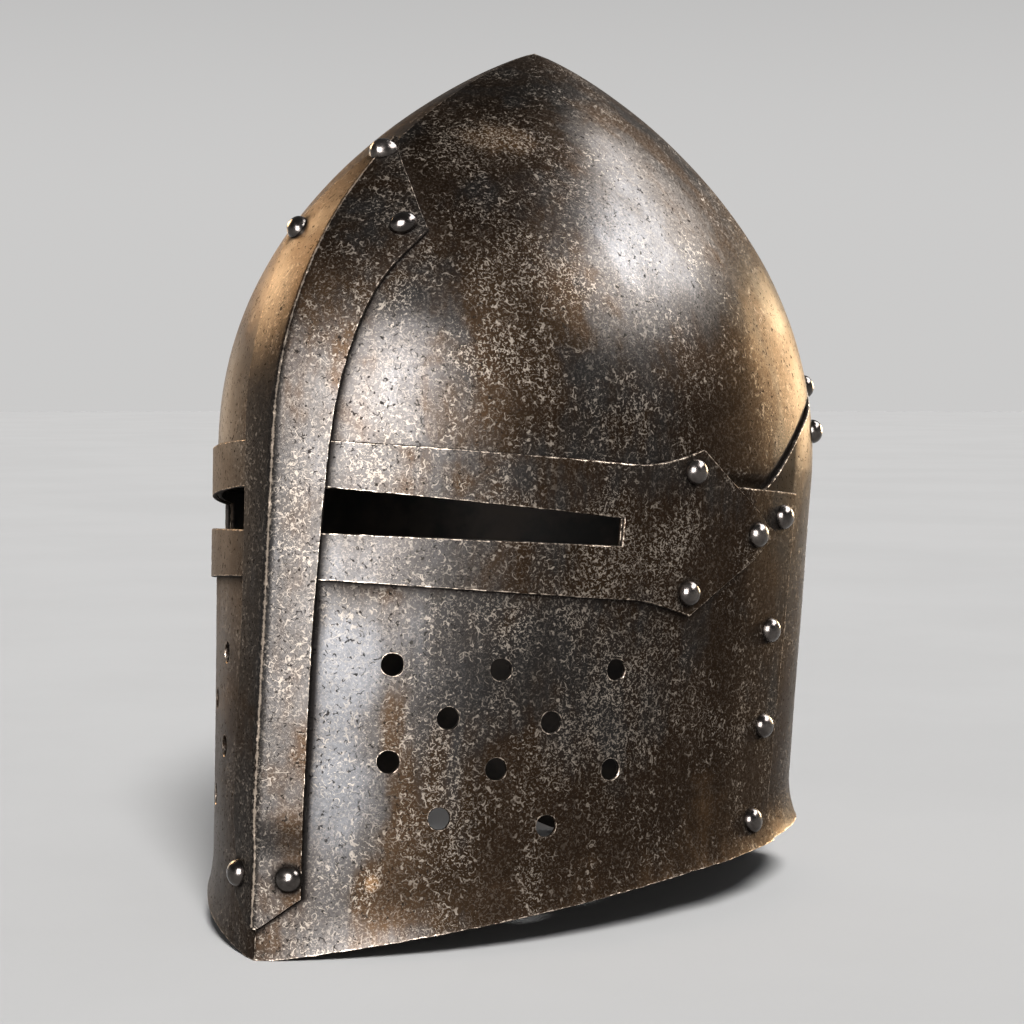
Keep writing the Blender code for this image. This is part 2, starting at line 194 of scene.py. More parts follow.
@dataclass(frozen=True)
class Shell:
    """The raised form that every plate follows, with the lines that the plates share, in metres."""

    height: float = 0.360
    brow: float = 0.191
    half_width: float = 0.1125
    front_reach: float = 0.166
    rear_reach: float = 0.1095
    apex_forward: float = 0.008
    side_spread: float = 0.062
    rear_spread: float = -0.075
    rear_squareness: float = 2.6
    side_dome: tuple[float, float] = (2.14, 0.85)
    front_dome: tuple[float, float] = (2.27, 0.907)
    rear_dome: tuple[float, float] = (1.99, 0.59)
    keel_fold: float = 0.0034
    lean: float = math.radians(5.0)
    sheet: float = 0.0018
    clearance: float = 0.0003
    arch_rise: float = 0.0255
    arch_turn: float = 1.40
    chin_turn: float = 0.035
    nape_turn: float = 1.80
    flare_reach: float = 0.0042
    flare_height: float = 0.018
    face_top: float = 0.1815
    face_turn: float = 1.10
    lap_start: float = 0.85
    lap_turn: float = 0.96
    crest_top: float = 0.262
    dent_depth: float = 0.00022
    dent_pitch: float = 0.055
    small_dents: float = 3.1
    small_dent_share: float = 0.35

    JUST_DEEPER = 1.0001

    @property
    def layer(self) -> float:
        """How far one plate stands off the next."""
        return self.sheet + self.clearance

    @property
    def tip(self) -> Vector:
        """The apex."""
        return Vector((0.0, -self.apex_forward, self.height))

    @staticmethod
    def dome(curve: tuple[float, float], rise: float) -> float:
        """How much of a reach is left at a share of the height over the brow."""
        return max(1.0 - rise ** curve[0], 0.0) ** curve[1]

    def plain_point(self, turn: float, height: float) -> Vector:
        """A point of the shell with its keel as sharp as a knife.

        Args:
            turn: turn of the point, from -2 to 2.
            height: its height.

        Returns:
            The point in the helm's own frame.
        """
        side = abs(turn)
        above = height - self.brow
        rise = min(max(above / (self.height - self.brow), 0.0), 1.0)
        below = min(above, 0.0)
        front_left = self.dome(self.front_dome, rise)
        middle = self.apex_forward * (front_left - 1.0)
        half = (self.half_width + self.side_spread * below) * self.dome(self.side_dome, rise)
        front = max(self.front_reach * front_left, half * self.JUST_DEEPER)
        if side <= 1.0:
            centre = (front * front - half * half) / (2.0 * max(half, 1e-9))
            radius = math.hypot(centre, front)
            angle = math.atan2(-front, centre) * (1.0 - side)
            across = radius * math.cos(angle) - centre
            along = radius * math.sin(angle)
        else:
            rear = self.rear_reach + self.apex_forward + self.rear_spread * below
            rear = rear * self.dome(self.rear_dome, rise) - self.apex_forward * front_left
            angle = (side - 1.0) * math.pi / 2.0
            power = 2.0 / self.rear_squareness
            across = half * max(math.cos(angle), 0.0) ** power
            along = rear * math.sin(angle) ** power
        return Vector((math.copysign(across, turn), middle + along, height))

    def point(self, turn: float, height: float) -> Vector:
        """A point of the shell, with the keel folded over a small radius.

        Args:
            turn: turn of the point; past the middle of the back it goes on from the other side.
            height: its height.

        Returns:
            The point in the helm's own frame.
        """
        if turn > BACK_TURN:
            turn -= WHOLE_TURN
        elif turn < -BACK_TURN:
            turn += WHOLE_TURN
        if abs(turn) >= self.keel_fold:
            return self.plain_point(turn, height)
        step = (turn / self.keel_fold + 1.0) / 2.0
        start = self.plain_point(-self.keel_fold, height)
        fold = self.plain_point(0.0, height)
        end = self.plain_point(self.keel_fold, height)
        first = start.lerp(fold, step)
        return first.lerp(fold.lerp(end, step), step)

    @staticmethod
    def wrapped(turn: float) -> float:
        """A turn from -2 to 2 for one that goes on past the middle of the back."""
        return turn - WHOLE_TURN if turn > BACK_TURN else turn

    def ruled(self, knots: tuple[float, ...], pitch: float) -> list[float]:
        """Turns that rule the shell in even steps along its widest height.

        Args:
            knots: rising turns that all get a step of their own.
            pitch: the widest step in metres.

        Returns:
            The knots and the turns between them.
        """
        turns = [knots[0]]
        for low, high in zip(knots, knots[1:]):
            fine = [low + (high - low) * step / FINE_STEPS for step in range(FINE_STEPS + 1)]
            places = [self.point(turn, self.brow) for turn in fine]
            run = [0.0]
            for before, after in zip(places, places[1:]):
                run.append(run[-1] + (after - before).length)
            count = max(math.ceil(run[-1] / pitch - ROUNDING), 1)
            for step in range(1, count):
                goal = run[-1] * step / count
                past = bisect_left(run, goal)
                share = (goal - run[past - 1]) / (run[past] - run[past - 1])
                turns.append(fine[past - 1] + (fine[past] - fine[past - 1]) * share)
            turns.append(high)
        return turns

    def outward(self, turn: float, height: float) -> Vector:
        """Unit vector off the shell.

        Args:
            turn: turn of the point.
            height: its height.

        Returns:
            The direction in which a sheet is lifted there.
        """
        turn_step = 0.002
        height_step = 0.0004
        along = self.point(turn + turn_step, height) - self.point(turn - turn_step, height)
        top = min(height + height_step, self.height - height_step)
        up = self.point(turn, top) - self.point(turn, top - 2.0 * height_step)
        return along.cross(up).normalized()

    def dent(self, point: Vector) -> float:
        """How far the hammered sheet stands off its true form at a point.

        Args:
            point: a point of the shell.

        Returns:
            The stand, in metres.
        """
        broad = noise.noise(point / self.dent_pitch)
        small = noise.noise(point * self.small_dents / self.dent_pitch)
        return self.dent_depth * (broad + self.small_dent_share * small)

    def lifted(self, turn: float, height: float, lift: float) -> Vector:
        """The point at a lift off the shell, dents included."""
        point = self.point(turn, height)
        return point + self.outward(turn, height) * (lift + self.dent(point))

    def turn_length(self, turn: float, height: float) -> float:
        """Length of one turn at a point."""
        step = 0.01
        return (self.point(turn + step, height) - self.point(turn - step, height)).length / (2.0 * step)

    def rise_length(self, turn: float, height: float) -> float:
        """Length on the shell of one unit of height at a point.

        Args:
            turn: round the shell, 0 at the keel and 2 at the back.
            height: over the ground, in metres.

        Returns:
            Metres for one metre of height.
        """
        step = 0.002
        low = min(height, self.height - 2.0 * step)
        return (self.point(turn, low + step) - self.point(turn, low - step)).length / (2.0 * step)

    def rest_height(self, turn: float) -> float:
        """Height of the lower edge over the ground: chin and nape stand, the sides arch up.

        Args:
            turn: round the shell, 0 at the keel and 2 at the back.

        Returns:
            The height, in metres.
        """
        side = abs(turn)
        if side <= self.chin_turn or side >= self.nape_turn:
            return 0.0
        climb = min((side - self.chin_turn) / (self.arch_turn - self.chin_turn), 1.0)
        fall = eased((side - self.arch_turn) / (self.nape_turn - self.arch_turn))
        return self.arch_rise * math.sin(math.pi / 2.0 * climb) * (1.0 - fall)

    def flare(self, turn: float) -> float:
        """How far the lower edge stands out at a turn."""
        return self.flare_reach * FLARE_SPREAD.value(abs(turn))

    @lru_cache(maxsize=None)
    def edge_height(self, turn: float, lift: float) -> float:
        """Height on the shell at which a flared sheet meets its lower edge.

        Args:
            turn: turn of the edge.
            lift: lift of the sheet off the shell.

        Returns:
            The height, with the sight level.
        """
        height = 0.0
        for _ in range(EDGE_STEPS):
            foot = self.point(turn, height) + self.outward(turn, height) * (lift + self.flare(turn))
            leaned = foot.z * math.cos(self.lean) - foot.y * math.sin(self.lean)
            height += self.rest_height(turn) - leaned + self.front_reach * math.sin(self.lean)
        return height

    def lip(self, turn: float, height: float, lift: float = 0.0) -> float:
        """How far the flared lip of a sheet stands out at a height."""
        share = 1.0 - (height - self.edge_height(turn, lift)) / self.flare_height
        return self.flare(turn) * min(max(share, 0.0), 1.0) ** 2

    def lap(self, turn: float) -> float:
        """How far the face plate stands out to lap over the back plate."""
        return self.layer * eased((abs(turn) - self.lap_start) / (self.lap_turn - self.lap_start))

    def border(self, turn: float) -> float:
        """Top edge of the face plate and, behind the widest line, of the back plate."""
        return self.face_top + (self.crest_top - self.face_top) * NAPE_EDGE.value(abs(turn) - 1.0)


@dataclass(frozen=True)
class Stance:
    """How the helm stands on the ground once it leans back."""

    matrix: Matrix

    @classmethod
    def over(cls, crown_node: bpy.types.Object, shell: Shell) -> Stance:
        """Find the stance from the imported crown.

        Args:
            crown_node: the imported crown, whose highest point is the apex.
            shell: the form in its own frame.

        Returns:
            The stance that brings the shell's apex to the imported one.
        """
        apex = max((vertex.co for vertex in crown_node.data.vertices), key=lambda point: point.z)
        turned = Matrix.Rotation(-shell.lean, 4, "X")
        return cls(Matrix.Translation(apex - turned @ shell.tip) @ turned)


def spaced(knots: tuple[float, ...], pitch: float) -> list[float]:
    """Even steps between knots.

    Args:
        knots: rising values that all get a step of their own.
        pitch: the widest step.

    Returns:
        The knots and the steps between them.
    """
    steps = [knots[0]]
    for low, high in zip(knots, knots[1:]):
        count = max(math.ceil((high - low) / pitch - ROUNDING), 1)
        steps += [low + (high - low) * step / count for step in range(1, count + 1)]
    return steps


def mirrored(knots: tuple[float, ...]) -> tuple[float, ...]:
    """Knots of both sides from those of one side, which start at the keel."""
    return tuple(-knot for knot in reversed(knots[1:])) + knots


Measure = Callable[[float, float], float]
# Tones noted on the vertices: wear that also paints highlights, dirt that also paints shade, brown stains
# that paint highlights below 0, and crowding of the hairs.
TONES = ("worn", "grime", "brown", "hairy")
GUIDES = ("turn", "height", "outside")


class Blank:
    """A flat blank of fine squares that is cut, raised onto the shell and given its thickness.

    While it is flat, a vertex lies at its turn, drawn out to about its true length, and its height.
    """

    DRAWN = 0.18
    CHAMFER = 0.00034
    CHAMFER_DEPTH = 0.24
    CHAMFER_UNEVEN = 0.9
    CHAMFER_PITCH = 260.0
    CHAMFER_REACH = 0.4
    THIRDS = 3.0
    HOLE_BLOCK = 1.45
    MERGE = 2e-6
    INNER_WEAR = 0.2
    CORNER_WEAR = 0.42
    RIM_PAINTED_SHADE = 0.9
    SHARP = math.radians(28.0)

    def __init__(self, columns: int, rows: int, rim_wear: float = 0.3) -> None:
        """Rule the blank.

        Args:
            columns: number of squares across.
            rows: number of squares up.
            rim_wear: how bright the rims are worn.
        """
        self.rim_wear = rim_wear
        self.columns = columns
        self.rows = rows
        self.mesh = bmesh.new()
        bmesh.ops.create_grid(self.mesh, x_segments=columns, y_segments=rows, size=0.5)
        for name in (*TONES, *GUIDES):
            self.mesh.verts.layers.float.new(name)

    def layer(self, name: str) -> bmesh.types.BMLayerItem:
        """One of the values that are noted on every vertex."""
        return self.mesh.verts.layers.float[name]

    def spread(self, outline: Callable[[int, int], tuple[float, float]]) -> None:
        """Draw the blank out to its outline.

        Args:
            outline: gives the turn and height of a corner from its column and row.
        """
        for vertex in self.mesh.verts:
            column = round((vertex.co.x + 0.5) * self.columns)
            row = round((vertex.co.y + 0.5) * self.rows)
            turn, height = outline(column, row)
            vertex.co = Vector((turn * self.DRAWN, height, 0.0))

    def open_where(self, inside: Callable[[float, float], bool]) -> None:
        """Cut out the squares whose middle lies inside an opening.

        Args:
            inside: tells whether a spot of the grid lies in the opening.
        """
        cut = []
        for face in self.mesh.faces:
            middle = face.calc_center_median()
            if inside(middle.x / self.DRAWN, middle.y):
                cut.append(face)
        bmesh.ops.delete(self.mesh, geom=cut, context="FACES")

    def pierce(self, shell: Shell, turn: float, height: float, radius: float) -> None:
        """Drill one round hole.

        Args:
            shell: the form, for true lengths.
            turn: turn of the hole's middle.
            height: its height.
            radius: radius of the hole.
        """
        middle = Vector((turn * self.DRAWN, height, 0.0))
        wide = self.DRAWN / shell.turn_length(turn, height)
        tall = 1.0 / shell.rise_length(turn, height)
        block = self.HOLE_BLOCK * radius
        cut = []
        for face in self.mesh.faces:
            away = face.calc_center_median() - middle
            if abs(away.x) < block * wide and abs(away.y) < block * tall:
                cut.append(face)
        inside = set(cut)
        edges = {edge for face in cut for edge in face.edges}
        rim = [edge for edge in edges if not all(face in inside for face in edge.link_faces)]
        bmesh.ops.delete(self.mesh, geom=cut, context="FACES")
        raised = Matrix.Translation(middle + Vector((0.0, 0.0, radius)))
        drawn = raised @ Matrix.Diagonal((wide, tall, 1.0, 1.0))
        ring = bmesh.ops.create_circle(self.mesh, cap_ends=False, segments=len(rim), radius=radius,
                                       matrix=drawn)["verts"]
        round_edges = list({edge for vertex in ring for edge in vertex.link_edges})
        spokes = bmesh.ops.bridge_loops(self.mesh, edges=rim + round_edges)["edges"]
        for vertex in ring:
            vertex.co.z = 0.0
        bmesh.ops.subdivide_edges(self.mesh, edges=spokes, cuts=2)

    def mark(self, **measures: Measure) -> None:
        """Note each vertex's turn and height, and the measures given by name.

        Args:
            measures: functions of turn and height, by the names of the tones.
        """
        turn_layer = self.layer("turn")
        height_layer = self.layer("height")
        layers = {self.layer(name): measure for name, measure in measures.items()}
        for vertex in self.mesh.verts:
            turn = vertex.co.x / self.DRAWN
            height = vertex.co.y
            vertex[turn_layer] = turn
            vertex[height_layer] = height
            for layer, measure in layers.items():
                vertex[layer] = measure(turn, height)

    def form(self, place: Callable[[float, float], Vector], verts: list[bmesh.types.BMVert]) -> None:
        """Move vertices to their places on the helm.

        Args:
            place: gives the place from turn and height.
            verts: the vertices to move.
        """
        turn_layer = self.layer("turn")
        height_layer = self.layer("height")
        for vertex in verts:
            vertex.co = place(vertex[turn_layer], vertex[height_layer])

    def thicken(self, outer: Callable[[float, float], Vector],
                inner: Callable[[float, float], Vector], shell: Shell) -> None:
        """Raise the blank, back it with its inner face and break its edges.

        Args:
            outer: place of the outer face from turn and height.
            inner: place of the inner face.
            shell: the form, for the thickness of the sheet.
        """
        self.form(outer, self.mesh.verts)
        bmesh.ops.remove_doubles(self.mesh, verts=self.mesh.verts, dist=self.MERGE)
        outside = set(self.mesh.verts)
        bmesh.ops.solidify(self.mesh, geom=self.mesh.faces[:], thickness=shell.sheet)
        backs = [vertex for vertex in self.mesh.verts if vertex not in outside]
        self.form(inner, backs)
        inside = set(backs)
        outside_layer = self.layer("outside")
        for vertex in self.mesh.verts:
            vertex[outside_layer] = 0.0 if vertex in inside else 1.0
        for face in self.mesh.faces:
            face.material_index = 1 if all(vertex in inside for vertex in face.verts) else 0
        self.break_edges()

    def break_edges(self) -> None:
        """Chamfer both edges of every rim, unevenly as a file does, and note wear, and painted shade on
        the rim walls.
        """
        outside = self.layer("outside")
        across = [edge for edge in self.mesh.edges if edge.verts[0][outside] != edge.verts[1][outside]]
        made = bmesh.ops.subdivide_edges(self.mesh, edges=across, cuts=2)["geom_inner"]
        middles = {part for part in made if isinstance(part, bmesh.types.BMVert)}
        self.mesh.normal_update()
        worn = self.layer("worn")
        grime = self.layer("grime")
        moves = []
        for middle in middles:
            edge = next(link for link in middle.link_edges if link.other_vert(middle) not in middles)
            corner = edge.other_vert(middle)
            away = sum((face.normal for face in edge.link_faces), Vector()).normalized()
            reach = [link.calc_length() for link in corner.link_edges
                     if not any(face in edge.link_faces for face in link.link_faces)]
            uneven = 1.0 + self.CHAMFER_UNEVEN * noise.noise(corner.co * self.CHAMFER_PITCH)
            width = min([self.CHAMFER * uneven, *(self.CHAMFER_REACH * length for length in reach)])
            across_sheet = (middle.co - corner.co) * (self.THIRDS * self.CHAMFER_DEPTH)
            moves.append((middle, corner, corner.co + across_sheet, corner.co - away * width))
        for middle, corner, chamfered, pulled in moves:
            middle.co = chamfered
            corner.co = pulled
            shown = corner[outside]
            middle[worn] = self.rim_wear * shown
            corner[worn] = self.INNER_WEAR + (self.CORNER_WEAR + 0.5 * self.rim_wear) * shown
            # The rim walls get painted shade, less where the rim is worn.
            middle[grime] = self.RIM_PAINTED_SHADE - self.rim_wear * shown

    def finish(self, name: str, stance: Stance, metals: list[bpy.types.Material]) -> bpy.types.Object:
        """Stand the piece in its place and make it an object.

        Args:
            name: name of the piece.
            stance: how the helm stands.
            metals: finish of the outer face, then of the inner one.

        Returns:
            The object, at the origin with its place in its mesh.
        """
        for layer in GUIDES:
            self.mesh.verts.layers.float.remove(self.layer(layer))
        return finished(self.mesh, name, stance, metals, self.SHARP)


def finished(mesh: bmesh.types.BMesh, name: str, stance: Stance,
             metals: list[bpy.types.Material], sharp: float) -> bpy.types.Object:
    """Turn a bmesh in the helm's frame into an object that stands with the helm.

    Args:
        mesh: the mesh, which is freed.
        name: name of the piece.
        stance: how the helm stands.
        metals: its materials.
        sharp: angle past which an edge stays crisp.

    Returns:
        The object.
    """
    bmesh.ops.transform(mesh, matrix=stance.matrix, verts=mesh.verts)
    open_edges = sum(1 for edge in mesh.edges if not edge.is_manifold)
    data = bpy.data.meshes.new(name)
    mesh.to_mesh(data)
    mesh.free()
    for metal in metals:
        data.materials.append(metal)
    data.shade_smooth()
    data.set_sharp_from_angle(angle=sharp)
    made = bpy.data.objects.new(name, data)
    bpy.context.scene.collection.objects.link(made)
    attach(made, BODY)
    log.info("%s: %d faces, %d open edges", name, len(data.polygons), open_edges)
    return made


Colour = tuple[float, float, float, float]


@dataclass(frozen=True)
class Cloud:
    """Soft noise: size of its clouds, its finer layers, how it is drawn out and moved."""

    pitch: float
    detail: float = 2.0
    rough: float = 0.5
    twist: float = 0.0
    draw: tuple[float, float, float] = (1.0, 1.0, 1.0)
    shift: float = 0.0


@dataclass(frozen=True)
class Strokes:
    """Fine broken lines: their distance and width in metres, their place, how many are kept."""

    pitch: float
    width: float
    shift: float
    kept: float


@dataclass(frozen=True)
class Specks:
    """Round dots: distance of the places and radius in metres, their shift, the share with a dot."""

    pitch: float
    radius: float
    shift: float
    share: float


@dataclass(frozen=True)
class Ramp:
    """A range of one value that is eased into a range of another."""

    low: float
    high: float
    start: float = 0.0
    end: float = 1.0


class Bench:
    """Lays and links the nodes of one material."""

    MIX_FACTOR = 0
    MIX_FIRST = 6
    MIX_SECOND = 7
    MIX_RESULT = 2
    PLAIN = (1.0, 1.0, 1.0)
    MIDDLE = 0.5
    SIDEWAYS = 1.7
    CURL = 1.1
    LINE_CORE = 0.25
    LINE_EDGE = 0.75
    BREAK_SHIFT = 3.1
    BREAK_PITCH = 0.8
    BREAK_EASE = 0.07
    DOT_CORE = 0.5
    DOT_EDGE = 1.3

    def __init__(self, name: str) -> None:
        """Start a material.

        Args:
            name: its name.
        """
        self.material = bpy.data.materials.new(name)
        self.material.use_nodes = True
        self.tree = self.material.node_tree
        self.shader = self.tree.nodes["Principled BSDF"]
        self.place = self.node("ShaderNodeTexCoord", {}).outputs["Object"]

    def feed(self, socket: bpy.types.NodeSocket, value: object) -> None:
        """Link a socket to another, or set its own value.

        Args:
            socket: an input of a node.
            value: its own value or what it is linked to.
        """
        if isinstance(value, bpy.types.NodeSocket):
            self.tree.links.new(value, socket)
        else:
            socket.default_value = value

    def node(self, kind: str, inputs: dict[str | int, object], **settings: object) -> bpy.types.Node:
        """Lay one node.

        Args:
            kind: the name of its type.
            inputs: value or source of each socket.
            settings: its other settings.

        Returns:
            The node.
        """
        made = self.tree.nodes.new(kind)
        for key, value in settings.items():
            setattr(made, key, value)
        for key, value in inputs.items():
            self.feed(made.inputs[key], value)
        return made

    def sum(self, kind: str, first: object, second: object = 0.0) -> bpy.types.NodeSocket:
        """One step of arithmetic."""
        return self.node("ShaderNodeMath", {0: first, 1: second}, operation=kind).outputs[0]

    def scaled(self, value: object, share: object) -> bpy.types.NodeSocket:
        """A value times a share."""
        return self.sum("MULTIPLY", value, share)

    def noted(self, name: str) -> bpy.types.NodeSocket:
        """A value noted on the vertices."""
        return self.node("ShaderNodeAttribute", {}, attribute_name=name).outputs["Fac"]

    def drawn(self, scale: tuple[float, float, float], shift: float) -> bpy.types.NodeSocket:
        """Coordinates drawn out and shifted, so that patterns differ.

        Args:
            scale: factor along each axis.
            shift: how far the pattern is moved.

        Returns:
            The coordinates.
        """
        inputs = {"Vector": self.place, "Location": (shift, self.SIDEWAYS * shift, -shift),
                  "Scale": scale}
        return self.node("ShaderNodeMapping", inputs).outputs["Vector"]

    def cloud(self, cloud: Cloud, seed: float = 0.0) -> bpy.types.NodeSocket:
        """Soft noise from 0 to 1.

        Args:
            cloud: the size and kind of its clouds.
            seed: moves the pattern of one material from another's.

        Returns:
            The noise.
        """
        inputs = {"Vector": self.drawn(cloud.draw, seed + cloud.shift), "Scale": 1.0 / cloud.pitch,
                  "Detail": cloud.detail, "Roughness": cloud.rough, "Distortion": cloud.twist}
        return self.node("ShaderNodeTexNoise", inputs).outputs["Fac"]

    def span(self, value: object, ramp: Ramp) -> bpy.types.NodeSocket:
        """Ease a value from one range to another.

        Args:
            value: the value.
            ramp: the two ranges.

        Returns:
            The eased value.
        """
        inputs = {"Value": value, "From Min": ramp.low, "From Max": ramp.high,
                  "To Min": ramp.start, "To Max": ramp.end}
        return self.node("ShaderNodeMapRange", inputs, interpolation_type="SMOOTHSTEP").outputs["Result"]

    def mix(self, share: object, first: object, second: object,
            blend: str = "MIX") -> bpy.types.NodeSocket:
        """Mix two colours.

        Args:
            share: share of the second.
            first: the colour under it.
            second: the colour over it.
            blend: how they mix.

        Returns:
            The mixed colour.
        """
        inputs = {self.MIX_FACTOR: share, self.MIX_FIRST: first, self.MIX_SECOND: second}
        made = self.node("ShaderNodeMix", inputs, data_type="RGBA", blend_type=blend)
        return made.outputs[self.MIX_RESULT]

    def cells(self, where: bpy.types.NodeSocket, pitch: float, feature: str) -> bpy.types.Node:
        """A texture of irregular cells.

        Args:
            where: coordinates.
            pitch: size of the cells in metres.
            feature: what its distance measures.

        Returns:
            The node.
        """
        inputs = {"Vector": where, "Scale": 1.0 / pitch}
        return self.node("ShaderNodeTexVoronoi", inputs, feature=feature)

    def warped(self, where: bpy.types.NodeSocket, pitch: float) -> bpy.types.NodeSocket:
        """Coordinates pushed about as far as the size of the curls, so that straight lines curl.

        Args:
            where: coordinates.
            pitch: size of the curls in metres.

        Returns:
            The coordinates.
        """
        inputs = {"Vector": where, "Scale": 1.0 / pitch, "Detail": 1.0}
        push = self.node("ShaderNodeTexNoise", inputs).outputs["Color"]
        centred = self.node("ShaderNodeVectorMath", {0: push, 1: (self.MIDDLE,) * 3},
                            operation="SUBTRACT").outputs["Vector"]
        far = self.node("ShaderNodeVectorMath", {0: centred, "Scale": pitch},
                        operation="SCALE").outputs["Vector"]
        return self.node("ShaderNodeVectorMath", {0: where, 1: far},
                         operation="ADD").outputs["Vector"]

    def broken(self, away: bpy.types.NodeSocket, strokes: Strokes, seed: float) -> bpy.types.NodeSocket:
        """Lines of even width, broken into short lengths.

        Args:
            away: distance from the middle of a line, as a share of the pitch.
            strokes: the size of the lines.
            seed: moves the pattern.

        Returns:
            1 on a line, 0 beside it.
        """
        wide = strokes.width / strokes.pitch
        line = self.span(away, Ramp(self.LINE_CORE * wide, self.LINE_EDGE * wide, 1.0, 0.0))
        gaps = self.cloud(Cloud(self.BREAK_PITCH * strokes.pitch, 1.0,
                                shift=strokes.shift + self.BREAK_SHIFT), seed)
        return self.scaled(line, self.span(gaps, Ramp(strokes.kept, strokes.kept + self.BREAK_EASE)))

    def hairs(self, strokes: Strokes, seed: float) -> bpy.types.NodeSocket:
        """Fine curled hairs that fork, along the borders of warped cells.

        Args:
            strokes: the size of the lines.
            seed: moves the pattern.

        Returns:
            1 on a hair, 0 beside it.
        """
        where = self.drawn(self.PLAIN, seed + strokes.shift)
        curled = self.warped(where, self.CURL * strokes.pitch)
        away = self.cells(curled, strokes.pitch, "DISTANCE_TO_EDGE").outputs["Distance"]
        return self.broken(away, strokes, seed)

    def curls(self, strokes: Strokes, seed: float) -> bpy.types.NodeSocket:
        """Fine lines that wander like the contours of soft noise.

        Args:
            strokes: the size of the lines.
            seed: moves the pattern.

        Returns:
            1 on a line, 0 beside it.
        """
        level = self.cloud(Cloud(strokes.pitch, 1.0, shift=strokes.shift), seed)
        away = self.sum("ABSOLUTE", self.sum("SUBTRACT", level, self.MIDDLE))
        return self.broken(away, strokes, seed)

    def dots(self, specks: Specks, seed: float) -> bpy.types.NodeSocket:
        """Scattered round dots.

        Args:
            specks: their size and number.
            seed: moves the pattern.

        Returns:
            1 on a dot, 0 beside it.
        """
        cells = self.cells(self.drawn(self.PLAIN, seed + specks.shift), specks.pitch, "F1")
        size = specks.radius / specks.pitch
        spot = self.span(cells.outputs["Distance"],
                         Ramp(self.DOT_CORE * size, self.DOT_EDGE * size, 1.0, 0.0))
        pick = self.node("ShaderNodeSeparateColor", {"Color": cells.outputs["Color"]}).outputs["Red"]
        return self.scaled(spot, self.sum("LESS_THAN", pick, specks.share))

    def relief(self, height: bpy.types.NodeSocket, strength: float, depth: float) -> None:
        """Give the surface a relief of a depth in metres."""
        inputs = {"Strength": strength, "Distance": depth, "Height": height}
        self.feed(self.shader.inputs["Normal"], self.node("ShaderNodeBump", inputs).outputs["Normal"])


